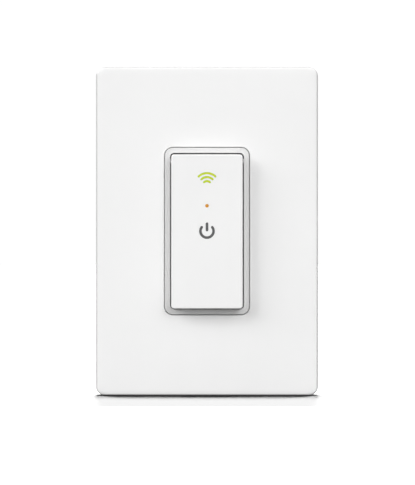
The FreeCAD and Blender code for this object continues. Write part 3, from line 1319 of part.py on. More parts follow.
def check(document):
    """Stops before anything is written if a feature failed, cut nothing or added nothing."""
    for item in document.Objects:
        if "Invalid" in item.State or "Error" in item.State:
            raise RuntimeError("%s failed: %s" % (item.Name, item.State))
        if item.TypeId in ("PartDesign::Pocket", "PartDesign::Pad"):
            base = item.BaseFeature.Shape.Volume if item.BaseFeature else 0.0
            change = item.Shape.Volume - base
            if (change < 0) != (item.TypeId == "PartDesign::Pocket") or abs(change) < 1e-6:
                raise RuntimeError("%s changed nothing" % item.Name)


def main():
    """Builds every piece, checks it and writes one STEP file for each."""
    fill_sheet()
    pieces = [build() for build in BUILDERS] + terminal_parts()
    DOC.recompute()
    check(DOC)
    os.makedirs("parts", exist_ok=True)
    for piece in pieces:
        shape = piece.Shape
        if shape.isNull() or not shape.isValid():
            raise RuntimeError("%s has no valid shape" % piece.Label)
        shape.exportStep("parts/%s.step" % piece.Label)
        print("%-20s %9.2f mm3 in %d" % (piece.Label, shape.Volume, len(shape.Solids)))


main()
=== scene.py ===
import math

import bmesh
import bpy
import numpy as np
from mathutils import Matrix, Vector


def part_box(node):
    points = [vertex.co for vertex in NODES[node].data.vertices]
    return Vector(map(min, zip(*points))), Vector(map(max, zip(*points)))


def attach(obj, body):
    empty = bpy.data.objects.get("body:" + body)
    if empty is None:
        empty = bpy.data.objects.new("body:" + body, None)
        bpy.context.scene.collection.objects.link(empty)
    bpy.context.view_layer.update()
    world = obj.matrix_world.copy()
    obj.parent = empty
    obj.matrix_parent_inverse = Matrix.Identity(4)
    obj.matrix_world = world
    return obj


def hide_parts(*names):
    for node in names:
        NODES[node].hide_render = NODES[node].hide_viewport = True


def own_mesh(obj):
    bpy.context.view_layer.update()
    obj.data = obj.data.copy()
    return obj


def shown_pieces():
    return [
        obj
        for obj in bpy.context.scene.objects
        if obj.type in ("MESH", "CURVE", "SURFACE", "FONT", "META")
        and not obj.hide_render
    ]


# Looks of the smart light switch. Lengths are in metres: X to the right, Y into the wall, Z up.
# New shapes are surfaces worked out on grids; finishes are node-built on Object coordinates.

MM = 0.001
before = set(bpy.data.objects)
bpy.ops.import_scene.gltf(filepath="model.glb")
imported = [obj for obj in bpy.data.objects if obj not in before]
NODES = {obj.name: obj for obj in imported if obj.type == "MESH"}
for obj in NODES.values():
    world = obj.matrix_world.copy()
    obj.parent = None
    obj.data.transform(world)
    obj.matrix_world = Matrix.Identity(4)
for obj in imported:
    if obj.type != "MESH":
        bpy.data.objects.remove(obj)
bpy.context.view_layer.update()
ACROSS, INWARD, UP = 0, 1, 2


def middle(node, direction):
    """The middle of a node's box along one direction."""
    low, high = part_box(node)
    return (low[direction] + high[direction]) / 2


# Surfaces

CREASE = 35          # degrees between two faces past which their edge looks sharp
CAD_CREASE = 32      # the same on a solid
SAME_POINT = 1e-7    # points of a new piece nearer than this are merged
WELD_POINT = 1e-6    # the same on a solid
NO_LENGTH = 1e-8     # edges shorter than this are dropped
AROUND = 40          # points round a shaft
THREAD_ROWS = 8      # rows along one pitch of a thread
HEAD_COLUMNS = 13    # columns from the middle of a screw head to its rim
HEAD_ROWS = 17       # rows over the top of a screw head
UNDERSIDE, SHOULDER, TOP = range(3)


def skin(name, grids, body, finish, stands_for):
    """One piece from several closed grids of points.

    A grid is an array of rows by columns by three. Its four-sided faces join each point to the
    next one in its row and to the two below them. A grid marked as round also joins its last
    column to its first. Points that fall together, as at a pole or a seam, are merged.
    """
    places, faces, count = [], [], 0
    for points, is_round in grids:
        rows, columns = points.shape[:2]
        index = np.arange(rows * columns).reshape(rows, columns) + count
        if is_round:
            index = np.concatenate([index, index[:, :1]], axis=1)
        quads = np.stack([index[:-1, :-1], index[:-1, 1:], index[1:, 1:], index[1:, :-1]], axis=-1)
        places.append(points.reshape(-1, 3))
        faces.append(quads.reshape(-1, 4))
        count += rows * columns
    mesh = bpy.data.meshes.new(name)
    mesh.from_pydata(np.concatenate(places), [], np.concatenate(faces))
    tidy_mesh(mesh)
    mesh.materials.append(finish)
    piece = bpy.data.objects.new(name, mesh)
    bpy.context.scene.collection.objects.link(piece)
    smooth(piece, CREASE)
    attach(piece, body)
    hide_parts(*stands_for)
    return piece


def tidy_mesh(mesh):
    """Merges points that fall together, drops faces without area and turns all faces outwards."""
    work = bmesh.new()
    work.from_mesh(mesh)
    bmesh.ops.remove_doubles(work, verts=work.verts, dist=SAME_POINT)
    bmesh.ops.dissolve_degenerate(work, edges=work.edges, dist=NO_LENGTH)
    bmesh.ops.recalc_face_normals(work, faces=work.faces)
    work.to_mesh(mesh)
    work.free()


def smooth(piece, crease, weld=False):
    """Smooth shading, with hard edges where two faces meet at more than the crease angle."""
    mesh = piece.data
    mesh.polygons.foreach_set("use_smooth", np.ones(len(mesh.polygons), dtype=bool))
    if weld:
        join = piece.modifiers.new("join", "WELD")
        join.merge_threshold = WELD_POINT
    split = piece.modifiers.new("creases", "EDGE_SPLIT")
    split.split_angle = math.radians(crease)
    level = piece.modifiers.new("even_shading", "WEIGHTED_NORMAL")
    level.keep_sharp = True


def placed(points, at, axis):
    """Points worked out about an upright third axis, laid along X or Y and moved to a place.

    The third coordinate becomes the one along the axis, with its sign.
    """
    across, up, along = points[..., 0], points[..., 1], points[..., 2]
    sign = -1.0 if axis.startswith("-") else 1.0
    if axis.endswith("y"):
        turned = np.stack([across, sign * along, up], axis=-1)
    else:
        turned = np.stack([sign * along, across, up], axis=-1)
    return turned + np.array(at)


def shaft(stations, pitch, root, thread):
    """A turned shaft with a thread.

    Radius is the profile's radius at each station along the axis. Between the two ends of the
    thread it drops towards the root radius by a wave of the pitch: the distance along divided by
    the pitch, less the share of a turn, gives a sawtooth, and twice its distance from the middle
    gives the wave, which is made steeper and cut off so that crest and root are flat. The wave
    fades in over one pitch at both ends. The first and last station have no radius, so the shaft
    is closed.
    """
    steep, crest = 1.7, 0.45
    along, radius = np.array(stations, dtype=float).T
    start, end = thread
    fine = np.arange(start, end, pitch / THREAD_ROWS)
    before, after = along < start, along > end
    radius = np.concatenate([radius[before], np.interp(fine, along, radius), radius[after]])
    along = np.concatenate([along[before], fine, along[after]])
    turn = np.linspace(0, 2 * math.pi, AROUND, endpoint=False)
    rows, columns = np.meshgrid(along, turn, indexing="ij")
    far = np.repeat(radius[:, None], AROUND, axis=1)
    wave = np.abs(np.mod(rows / pitch - columns / (2 * math.pi), 1.0) - 0.5) * 2
    groove = np.clip(steep * wave - crest, 0, 1)
    fade = np.clip(np.minimum(rows - start, end - rows) / pitch, 0, 1)
    far = far - fade * groove * (far - root).clip(0)
    return np.stack([far * np.cos(columns), far * np.sin(columns), rows], axis=-1), True


def coil(radius, wire, turns, length, steps=36, around=12):
    """A wire wound into a spring with closed ends, from zero to its length along the axis.

    The turn grows evenly along the wire. Its first and last turn rise by one thickness of the
    wire, and the turns between share the rest of the rise. Round each point of that line lies a
    circle of the wire's radius, spanned by the direction from the axis and by the cross product
    of the wire's direction with it. At both ends the circle shrinks to the line, which closes
    the wire.
    """
    turn = np.linspace(0, turns, int(turns * steps) + 1)
    rise = np.interp(turn, [0, 1, turns - 1, turns],
                     [wire, 3 * wire, length - 3 * wire, length - wire])
    angle = 2 * math.pi * turn
    outward = np.stack([np.cos(angle), np.sin(angle), np.zeros_like(angle)], axis=-1)
    line = radius * outward + np.stack([0 * rise, 0 * rise, rise], axis=-1)
    along = np.gradient(line, axis=0)
    along /= np.linalg.norm(along, axis=1)[:, None]
    upward = np.cross(along, outward)
    spin = np.linspace(0, 2 * math.pi, around, endpoint=False)[None, :, None]
    circle = np.cos(spin) * outward[:, None] + np.sin(spin) * upward[:, None]
    tube = line[:, None] + wire * circle
    caps = [np.repeat(end[None, None], around, axis=1) for end in (line[0], line[-1])]
    return np.concatenate([caps[0], tube, caps[1]]), True


def slotted_head(radius, height, slope, dome, slot, depth, upright):
    """A screw head with a driver's slot, its underside at zero and its top towards minus.

    Columns lie side by side across the slot; those at its two sides are doubled, one at the top
    and one on the slot's floor. Along a column, a row is a share of the half chord, the square
    root of the squared radius less the squared offset. The top falls by the dome's height times
    the squared distance from the axis over the squared radius.
    """
    half = slot / 2
    outer = np.sin(np.linspace(0, math.pi / 2, HEAD_COLUMNS)) * radius
    side = outer[outer > half * 1.15]
    offsets = np.concatenate([-side[::-1], [-half, -half, 0, half, half], side])
    sunk = np.zeros(len(offsets), dtype=bool)
    sunk[len(side) + 1: len(side) + 4] = True
    shoulder = height - dome - slope
    shares = np.sin(np.linspace(-math.pi / 2, math.pi / 2, HEAD_ROWS))
    plan = ([(0.0, radius, UNDERSIDE), (-1.0, radius, UNDERSIDE), (-1.0, radius, SHOULDER)]
            + [(share, radius - slope, TOP) for share in shares]
            + [(1.0, radius, SHOULDER), (1.0, radius, UNDERSIDE), (0.0, radius, UNDERSIDE)])
    rows = []
    for share, reach, level in plan:
        x = np.clip(offsets, -reach, reach)
        z = share * np.sqrt(np.clip(reach ** 2 - x ** 2, 0, None))
        domed = height - dome * (x ** 2 + z ** 2) / radius ** 2
        rise = (np.zeros_like(x), np.full_like(x, shoulder), domed)[level]
        rise = np.where(sunk, np.minimum(rise, height - depth), rise)
        rows.append(np.stack([z, x, -rise] if upright else [x, z, -rise], axis=-1))
    return np.array(rows), False


# Finishes

class Finish:
    """A material being built: its node tree, its shader and the object's own coordinates."""

    def __init__(self, name, roughness=0.5, metal=0.0, **sockets):
        self.material = bpy.data.materials.new(name)
        self.material.use_nodes = True
        self.tree = self.material.node_tree
        self.shader = self.tree.nodes["Principled BSDF"]
        self.shader.inputs["Roughness"].default_value = roughness
        self.shader.inputs["Metallic"].default_value = metal
        for socket, value in sockets.items():
            self.shader.inputs[socket.replace("_", " ")].default_value = value
        self.place = self.add("ShaderNodeTexCoord").outputs["Object"]

    def add(self, kind, inputs=(), **settings):
        """A node with its settings; each input is a socket to link or a plain value."""
        node = self.tree.nodes.new(kind)
        for name, value in settings.items():
            setattr(node, name, value)
        for name, value in dict(inputs).items():
            self.feed(node.inputs[name], value)
        return node

    def feed(self, socket, value):
        """Links a socket, or sets its value."""
        if isinstance(value, bpy.types.NodeSocket):
            self.tree.links.new(value, socket)
        else:
            socket.default_value = value

    def set(self, name, value):
        """Feeds one socket of the shader."""
        self.feed(self.shader.inputs[name], value)

    def stretched(self, scale):
        """The coordinates scaled along each direction, for grain that runs one way."""
        return self.add("ShaderNodeMapping", {"Vector": self.place, "Scale": scale}
                        ).outputs["Vector"]

    def noise(self, size, detail=2.0, rough=0.5, at=None, distortion=0.0):
        """Soft noise whose lumps are about one size across, in metres."""
        return self.add("ShaderNodeTexNoise", {"Vector": at or self.place, "Scale": 1 / size,
                                               "Detail": detail, "Roughness": rough,
                                               "Distortion": distortion}).outputs["Fac"]

    def cells(self, size):
        """Distance to the nearest of scattered points about one size apart."""
        return self.add("ShaderNodeTexVoronoi", {"Vector": self.place, "Scale": 1 / size}
                        ).outputs["Distance"]

    def between(self, source, low, high, start=0.3, end=0.7):
        """Carries a source's range, from start to end, over to a range of values."""
        return self.add("ShaderNodeMapRange", {"Value": source, "From Min": start,
                                               "From Max": end, "To Min": low, "To Max": high}
                        ).outputs["Result"]

    def tint(self, share, first, second):
        """Mixes two colours by a share."""
        mixer = self.add("ShaderNodeMix", data_type="RGBA")
        self.feed(mixer.inputs["Factor"], share)
        for socket, colour in ((mixer.inputs[6], first), (mixer.inputs[7], second)):
            is_socket = isinstance(colour, bpy.types.NodeSocket)
            self.feed(socket, colour if is_socket else (*colour, 1.0))
        return mixer.outputs[2]

    def sums(self, operation, first, second=0.0):
        """One sum on two values or sockets."""
        node = self.add("ShaderNodeMath", operation=operation)
        self.feed(node.inputs[0], first)
        self.feed(node.inputs[1], second)
        return node.outputs["Value"]

    def relief(self, *layers):
        """Stacks bumps; each layer is a height between 0 and 1 and its depth in metres."""
        normal = None
        for height, depth in layers:
            node = self.add("ShaderNodeBump", {"Height": height, "Distance": depth,
                                               "Strength": 1.0})
            if normal is not None:
                self.feed(node.inputs["Normal"], normal)
            normal = node.outputs["Normal"]
        self.feed(self.shader.inputs["Normal"], normal)


GRAIN = 0.16 * MM           # grain of a spark-eroded mould
GRAIN_DEPTH = 0.004 * MM
FLOW = 30 * MM              # slow flow of shade in a moulding
LUMPS = 6 * MM              # its slightly uneven surface
FLOW_SHIFT = 0.02           # how much darker its dark shade is


def shaded(colour, share):
    """A colour whose channels are a share of another's."""
    return tuple(channel * share for channel in colour)


def flowing(made, colour, shift):
    """A moulding's colour, with a slow flow of a darker shade."""
    slow = made.between(made.noise(FLOW, detail=3.0), 0.0, 1.0)
    return made.tint(slow, shaded(colour, 1 - shift), colour)


def grained(made, roughness, grain, depth):
    """A moulding's fine grain over slow lumps, with an uneven sheen."""
    fine = made.noise(grain, detail=4.0, rough=0.6)
    made.set("Roughness", made.between(fine, roughness - 0.04, roughness + 0.05))
    made.relief((made.noise(LUMPS, detail=1.0), depth * 2), (fine, depth))


def moulded(name, colour, roughness, grain=GRAIN, depth=GRAIN_DEPTH, shift=FLOW_SHIFT, **sockets):
    """Moulded plastic: fine spark-eroded grain, a slow flow of shade and an uneven sheen."""
    made = Finish(name, **sockets)
    made.set("Base Color", flowing(made, colour, shift))
    grained(made, roughness, grain, depth)
    return made.material


def white_with_painted_edge_shade(name, node, colour, edge_shade, bands, roughness, grain=GRAIN):
    """White plastic with a satin face and painted shade: its side faces are coloured a shade
    greyer.

    A side begins where the distance from the node's middle comes near to half its width. Each
    band gives a direction and the two lengths in from the edge between which the painted shade
    changes.
    """
    made = Finish(name, Coat_Weight=0.12, Coat_Roughness=0.3, Specular_IOR_Level=0.35)
    split = made.add("ShaderNodeSeparateXYZ", {"Vector": made.place})
    low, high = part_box(node)
    zones = []
    for direction, start, end in bands:
        away = made.sums("SUBTRACT", split.outputs[direction], middle(node, direction))
        half = (high[direction] - low[direction]) / 2
        zones.append(made.between(made.sums("ABSOLUTE", away), 0.0, 1.0,
                                  half - start, half - end))
    # The side faces take a darker copy of the white: painted shade along the edges.
    made.set("Base Color", made.tint(made.sums("MAXIMUM", *zones),
                                     flowing(made, colour, FLOW_SHIFT), shaded(colour, edge_shade)))
    grained(made, roughness, grain, GRAIN_DEPTH)
    return made.material


def plated(name, colour, roughness, rolled=(1, 1, 1), flake=0.9 * MM):
    """Plated sheet or turned metal: crystal bloom in the plating, rolling lines, dull spots."""
    made = Finish(name, metal=1.0)
    bloom = made.between(made.cells(flake), 0.0, 1.0, 0.1, 0.9)
    lines = made.noise(0.4 * MM, detail=5.0, rough=0.7, at=made.stretched(rolled))
    dull = made.sums("MULTIPLY", bloom, made.between(lines, 0.4, 1.0))
    made.set("Base Color", made.tint(dull, colour, shaded(colour, 0.82)))
    made.set("Roughness", made.between(lines, roughness - 0.06, roughness + 0.09))
    made.relief((lines, 0.006 * MM), (made.noise(0.12 * MM), 0.002 * MM))
    return made.material


def lit_plastic(name, colour, roughness):
    """Clear tinted plastic with a milky body, as in a light guide behind a symbol."""
    made = Finish(name, Subsurface_Weight=0.25, Subsurface_Scale=0.6 * MM,
                  Transmission_Weight=0.12, IOR=1.5)
    cloud = made.between(made.noise(1.2 * MM), 0.0, 1.0)
    made.set("Base Color", made.tint(cloud, shaded(colour, 0.93), colour))
    made.set("Roughness", made.between(made.noise(0.3 * MM), roughness - 0.05, roughness + 0.06))
    made.relief((made.noise(0.2 * MM, detail=3.0), 0.002 * MM))
    return made.material


def fibre_sheet(name, colour, dark, streak):
    """Pressed fibre: long crossing strands in two shades, with a rough face."""
    along = 0.15
    made = Finish(name, roughness=0.7)
    first, second = (made.noise(0.5 * MM, detail=4.0, rough=0.7, at=made.stretched(run),
                                distortion=0.6) for run in ((along, 1, 1), (1, 1, along)))
    strands = made.sums("MAXIMUM", first, second)
    made.set("Base Color", made.tint(made.between(strands, 0.0, streak, 0.45, 0.75), colour, dark))
    made.relief((strands, 0.02 * MM), (made.noise(0.15 * MM), 0.006 * MM))
    return made.material


def printed_board(name, mask, seed):
    """Circuit board: lacquer over routed tracks, and bare tinned pads on a grid.

    Tracks are bands of equal slanted distance from scattered points, which run in straight lines
    with square and slanted turns. Pads are dots on a regular grid, kept only where a slow noise
    is high. The seed moves the pattern, so that no two boards are alike.
    """
    spread, bands, pin_grid = 7 * MM, 9.0, 2.54 * MM
    made = Finish(name, Coat_Weight=0.4, Coat_Roughness=0.15)
    flat = made.add("ShaderNodeMapping", {"Vector": made.place, "Location": (seed, 0, seed * 2),
                                          "Scale": (1, 0, 1)}).outputs["Vector"]
    routed = made.add("ShaderNodeTexVoronoi", {"Vector": flat, "Scale": 1 / spread,
                                               "Randomness": 0.8},
                      distance="MANHATTAN").outputs["Distance"]
    band = made.sums("FRACT", made.sums("MULTIPLY", routed, bands))
    track = made.between(band, 0.0, 1.0, 0.52, 0.56)
    dots = made.add("ShaderNodeTexVoronoi", {"Vector": flat, "Scale": 1 / pin_grid,
                                             "Randomness": 0.0}).outputs["Distance"]
    field = made.noise(12 * MM, detail=1.0, at=flat)
    pad = made.sums("MULTIPLY", made.between(dots, 1.0, 0.0, 0.26, 0.29),
                    made.between(field, 0.0, 1.0, 0.53, 0.54))
    over_copper = tuple(min(1.0, channel * 1.7 + 0.01) for channel in mask)
    tinned = (0.72, 0.71, 0.68)
    made.set("Base Color", made.tint(pad, made.tint(track, mask, over_copper), tinned))
    made.set("Metallic", pad)
    made.set("Roughness", made.between(made.noise(0.6 * MM, detail=3.0), 0.26, 0.4))
    made.relief((made.sums("MAXIMUM", track, pad), 0.03 * MM),
                (made.noise(0.25 * MM), 0.004 * MM))
    return made.material


def parted(name, zones, rest, roughness, glossy=0.5):
    """A finish in zones, for a part made of two or three materials.

    A zone is a colour, whether it is metal, a direction, a middle and two ends. It holds where
    the distance from the middle along its direction lies between the ends.
    """
    made = Finish(name, Specular_IOR_Level=glossy)
    split = made.add("ShaderNodeSeparateXYZ", {"Vector": made.place})
    grime = made.between(made.noise(1.5 * MM, detail=4.0), 0.9, 1.0)
    colour, metal = rest, 0.0
    for tone, is_metal, direction, centre, near, far in zones:
        away = made.sums("ABSOLUTE", made.sums("SUBTRACT", split.outputs[direction], centre))
        inside = made.sums("MULTIPLY", made.sums("GREATER_THAN", away, near),
                           made.sums("LESS_THAN", away, far))
        colour = made.tint(inside, colour, tone)
        if is_metal:
            metal = made.sums("MAXIMUM", metal, inside)
    dirt = made.add("ShaderNodeCombineColor", {"Red": grime, "Green": grime, "Blue": grime})
    dull = made.add("ShaderNodeMix", data_type="RGBA", blend_type="MULTIPLY")
    made.feed(dull.inputs["Factor"], 1.0)
    made.feed(dull.inputs[6], colour)
    made.feed(dull.inputs[7], dirt.outputs["Color"])
    made.set("Base Color", dull.outputs[2])
    made.set("Metallic", metal)
    made.set("Roughness", made.between(made.noise(0.4 * MM, detail=3.0),
                                       roughness - 0.06, roughness + 0.08))
    made.relief((made.noise(0.2 * MM, detail=3.0), 0.005 * MM))
    return made.material


SATIN_WHITE = (0.895, 0.895, 0.893)
# The plate and the paddle are painted greyer round their edges: painted shade that darkens their
# outlines.
plate_white = white_with_painted_edge_shade("satin_white_plate_painted_edges", "wall_plate", SATIN_WHITE, 0.7,
                    ((ACROSS, 0.85 * MM, 0.35 * MM), (UP, 0.25 * MM, 0.05 * MM)), 0.42)
paddle_white = white_with_painted_edge_shade("satin_white_paddle_painted_edges", "paddle", SATIN_WHITE, 0.87,
                     ((ACROSS, 0.12 * MM, 0.02 * MM), (UP, 0.12 * MM, 0.02 * MM)), 0.38,
                     grain=0.13 * MM)
# The front frame gets a greyer white than the plate: painted shade from the paddle that stands
# over it.
shaded_ring_white = moulded("moulded_white_front_painted_shade", (0.725, 0.725, 0.722), 0.42, depth=0.006 * MM)
frame_white = moulded("moulded_white", (0.84, 0.84, 0.835), 0.45, depth=0.007 * MM)
case_grey = moulded("spark_grey_housing", (0.032, 0.034, 0.037), 0.55, grain=0.22 * MM,
                    depth=0.016 * MM, shift=0.12)
black_part = moulded("moulded_black", (0.018, 0.018, 0.019), 0.42, depth=0.008 * MM, shift=0.15)
relay_blue = moulded("relay_case", (0.03, 0.06, 0.12), 0.38, depth=0.006 * MM, shift=0.1)
dipped_blue = moulded("dipped_epoxy", (0.03, 0.09, 0.34), 0.25, grain=0.4 * MM, depth=0.01 * MM,
                      shift=0.15, Coat_Weight=0.25, Coat_Roughness=0.22)
symbol_grey = moulded("inlaid_grey", (0.085, 0.085, 0.087), 0.5)
signal_green = lit_plastic("clear_lime", (0.61, 0.77, 0.008), 0.35)
status_amber = lit_plastic("clear_amber", (0.74, 0.31, 0.004), 0.35)
strap_zinc = plated("zinc_strap", (0.58, 0.60, 0.62), 0.34, rolled=(1, 1, 0.06))
screw_zinc = plated("zinc_screw", (0.62, 0.63, 0.64), 0.27, flake=0.5 * MM)
spring_wire = plated("drawn_wire", (0.5, 0.5, 0.51), 0.25, flake=0.6 * MM)
tinned_can = plated("tinned_can", (0.68, 0.68, 0.66), 0.3, rolled=(0.08, 1, 1))
clamp_zinc = plated("zinc_clamp", (0.55, 0.56, 0.58), 0.36, rolled=(1, 0.1, 1))
nickel = plated("nickel_screw", (0.66, 0.64, 0.60), 0.22, flake=0.4 * MM)
yellow_brass = plated("stamped_brass", (0.72, 0.50, 0.20), 0.28, rolled=(1, 0.08, 1))
earth_green = plated("green_passivated", (0.05, 0.30, 0.10), 0.35, flake=0.5 * MM)
red_fibre = fibre_sheet("vulcanised_fibre", (0.30, 0.045, 0.022), (0.16, 0.02, 0.012), 0.8)
pale_paper = fibre_sheet("insulating_paper", (0.66, 0.62, 0.44), (0.5, 0.44, 0.26), 0.6)
green_board = printed_board("green_lacquer", (0.006, 0.075, 0.028), 0.0)
green_power = printed_board("green_lacquer_rear", (0.006, 0.07, 0.026), 0.013)
blue_board = printed_board("blue_lacquer", (0.006, 0.022, 0.10), 0.031)

# Parts of two or three materials. A zone that begins at BEFORE takes in its middle too.
BEFORE = -1.0
TINNED = (0.62, 0.62, 0.62)
TAPE_START = 4.52 * MM
TAPE_END = 20 * MM
CAP_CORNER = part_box("bulk_capacitor")[0]
HEADER_LOW, HEADER_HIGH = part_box("board_header")
HEADER_PIN = (HEADER_HIGH[INWARD] - HEADER_LOW[INWARD]) / 2 - 2.54 * MM

taped_core = parted("ferrite_and_tape",
                    [((0.62, 0.40, 0.03), False, UP, middle("transformer", UP),
                      TAPE_START, TAPE_END)],
                    (0.03, 0.03, 0.032), 0.5)
sleeved = parted("sleeved_can",
                 [((0.55, 0.57, 0.6), False, ACROSS, CAP_CORNER[ACROSS], 0.0, 0.9 * MM),
                  (TINNED, True, INWARD, CAP_CORNER[INWARD], BEFORE, 0.25 * MM)],
                 (0.015, 0.02, 0.05), 0.3, glossy=0.6)
header_finish = parted("header_and_pins",
                       [((0.75, 0.55, 0.2), True, INWARD, middle("board_header", INWARD),
                         BEFORE, HEADER_PIN)],
                       (0.018, 0.018, 0.018), 0.42)
lamp_finish = parted("lamp_and_lens",
                     [((0.80, 0.62, 0.12), False, INWARD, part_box("signal_led")[0][INWARD],
                       BEFORE, 0.32 * MM)],
                     (0.82, 0.82, 0.78), 0.3)
switch_finish = parted("covered_switch",
                       [(TINNED, True, INWARD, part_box("tact_switch")[0][INWARD],
                         BEFORE, 0.4 * MM)],
                       (0.018, 0.018, 0.018), 0.35)

FINISHES = {
    "wall_plate": plate_white, "plate_frame": frame_white, "mounting_strap": strap_zinc,
    "box_screws": screw_zinc, "plate_screws": screw_zinc, "screw_retainers": red_fibre,
    "ground_screw": earth_green, "front_frame": shaded_ring_white, "paddle": paddle_white,
    "signal_lens": signal_green, "status_lens": status_amber, "power_symbol": symbol_grey,
    "return_spring": spring_wire, "tact_switch": switch_finish, "tact_plunger": black_part,
    "insulating_sheet": pale_paper, "control_board": green_board, "signal_led": lamp_finish,
    "status_led": lamp_finish, "wifi_module": blue_board, "shield_can": tinned_can,
    "board_header": header_finish, "power_board": green_power, "relay": relay_blue,
    "transformer": taped_core, "bulk_capacitor": sleeved, "varistor": dipped_blue,
    "fuse": black_part, "rectifier": black_part, "rear_housing": case_grey,
    "housing_screws": screw_zinc, "line_terminal": yellow_brass, "load_terminal": yellow_brass,
    "neutral_terminal": yellow_brass, "line_clamp": clamp_zinc, "load_clamp": clamp_zinc,
    "neutral_clamp": clamp_zinc, "line_screw": yellow_brass, "load_screw": yellow_brass,
    "neutral_screw": nickel,
}
for name, finish in FINISHES.items():
    NODES[name].data.materials.clear()
    NODES[name].data.materials.append(finish)
    smooth(NODES[name], CAD_CREASE, weld=True)


# Screws with their threads, in place of the plain ones. Each is measured from the underside of
# its head, the seat.

SLOT = {"slot": 0.9 * MM, "depth": 0.8 * MM}
BOX_HEAD = {"radius": 3.0 * MM, "height": 2.1 * MM, "slope": 0.25 * MM, "dome": 0.5 * MM}
EARTH_HEAD = {"radius": 2.9 * MM, "height": 2.0 * MM, "slope": 0.25 * MM, "dome": 0.45 * MM}
HOUSING_HEAD = {"radius": 2.2 * MM, "height": 1.8 * MM, "slope": 0.2 * MM, "dome": 0.35 * MM}
TERMINAL_HEAD = {"radius": 3.6 * MM, "height": 2.2 * MM, "slope": 0.25 * MM, "dome": 0.5 * MM}

THREAD = {"pitch": 0.794 * MM, "root": 1.38 * MM}
THREAD_RADIUS = 1.75 * MM
POINT_RADIUS = 1.15 * MM
NECK = {"radius": 1.45 * MM, "length": 1.65 * MM}    # of a box screw, in its fibre square
FINE_THREAD = {"pitch": 0.9 * MM, "root": 0.85 * MM}
FINE_RADIUS = 1.2 * MM
FINE_POINT = 0.6 * MM

IN_HEAD = 0.4 * MM       # how far a shank begins inside its head
TAPER = 0.6 * MM         # length over which a tip narrows
RUN_OUT = 0.5 * MM       # from a thread's end to the tip

STRAP_FRONT = -1.2 * MM
EARTH_SEAT = (12.0 * MM, 5.0 * MM, middle("ground_screw", UP))
EARTH_LENGTH = 6.0 * MM
HOUSING_SEAT = 8.0 * MM
HOUSING_THREAD = 1.5 * MM


def stations(tip, radius, point):
    """A plain shank's profile, from inside its head to its tip."""
    return [(-IN_HEAD, 0), (-IN_HEAD, radius), (tip - TAPER, radius), (tip, point), (tip, 0)]


def fixed_screws(name, node, finish, places, axis, head, shank, upright=False):
    """All like screws of one node: each a slotted head and a threaded shank."""
    grids = []
    for place in places:
        for grid, is_round in (slotted_head(**head, **SLOT, upright=upright), shank):
            grids.append((placed(grid, place, axis), is_round))
    return skin(name, grids, "device", finish, stands_for=(node,))


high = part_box("box_screws")[1]
tip = high[INWARD] - STRAP_FRONT
height = high[UP] - BOX_HEAD["radius"]
neck = [(-IN_HEAD, 0), (-IN_HEAD, NECK["radius"]), (NECK["length"], NECK["radius"]),
        (NECK["length"], THREAD_RADIUS)]
fixed_screws("box_screws_threaded", "box_screws", screw_zinc,
             [(0, STRAP_FRONT, side * height) for side in (1, -1)], "y", BOX_HEAD,
             shaft(neck + stations(tip, THREAD_RADIUS, POINT_RADIUS)[2:],
                   thread=(NECK["length"] + 0.01 * MM, tip - TAPER), **THREAD))

fixed_screws("ground_screw_threaded", "ground_screw", earth_green,
             [EARTH_SEAT], "-x", EARTH_HEAD,
             shaft(stations(EARTH_LENGTH, THREAD_RADIUS, POINT_RADIUS),
                   thread=(0.0, EARTH_LENGTH - RUN_OUT), **THREAD), upright=True)

low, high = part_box("housing_screws")
tip = HOUSING_SEAT - low[INWARD]
across, up = (high[direction] - HOUSING_HEAD["radius"] for direction in (ACROSS, UP))
fixed_screws("housing_screws_threaded", "housing_screws", screw_zinc,
             [(a * across, HOUSING_SEAT, b * up) for a in (1, -1) for b in (1, -1)], "-y",
             HOUSING_HEAD, shaft(stations(tip, FINE_RADIUS, FINE_POINT),
                                 thread=(HOUSING_THREAD, tip - RUN_OUT), **FINE_THREAD))

for name, side, finish, slot in (("line", 1, yellow_brass, "brass"),
                                 ("load", 1, yellow_brass, "brass"),
                                 ("neutral", -1, nickel, "silver_screw")):
    node = name + "_screw"
    low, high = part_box(node)
    inner, outer = sorted((abs(low[ACROSS]), abs(high[ACROSS])))
    seat = outer - TERMINAL_HEAD["height"]
    tip = seat - inner
    fixed_screws(node + "_threaded", node, finish,
                 [(side * seat, middle(node, INWARD), middle(node, UP))],
                 "-x" if side > 0 else "x", TERMINAL_HEAD,
                 shaft(stations(tip, THREAD_RADIUS, POINT_RADIUS),
                       thread=(0.0, tip - RUN_OUT), **THREAD), upright=True)


# The return spring, which the paddle presses flatter. The paddle is taken to press it at its
# lowest point, so that the spring never comes through.

COIL_RADIUS = 2.3 * MM
WIRE_RADIUS = 0.25 * MM
COIL_TURNS = 6

low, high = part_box("return_spring")
spring_z = middle("return_spring", UP)
wound, closed = coil(COIL_RADIUS, WIRE_RADIUS, COIL_TURNS, high[INWARD] - low[INWARD])
spring = skin("return_spring_coiled",
              [(placed(wound, (0, high[INWARD], spring_z), "-y"), closed)], "device",
              spring_wire, stands_for=("return_spring",))
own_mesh(spring)


# Floor, light and camera. The object and the floor have lamps of their own.

FAR = 7.8                # distance of the soft boxes from the switch
SUN_AT = 2.0             # where a sun's object is put, which doesn't change its light
FLOOR_SHADE = 0.1
FLOOR_HEIGHT = -65.05 * MM
FLOOR_REACH = 6
BACKDROP = 1.02          # what the camera sees past the floor
STRAY_LIGHT = 0.01       # what reaches everything from all sides
LIT_OBJECT = bpy.data.collections.new("lit_object")
LIT_FLOOR = bpy.data.collections.new("lit_floor")


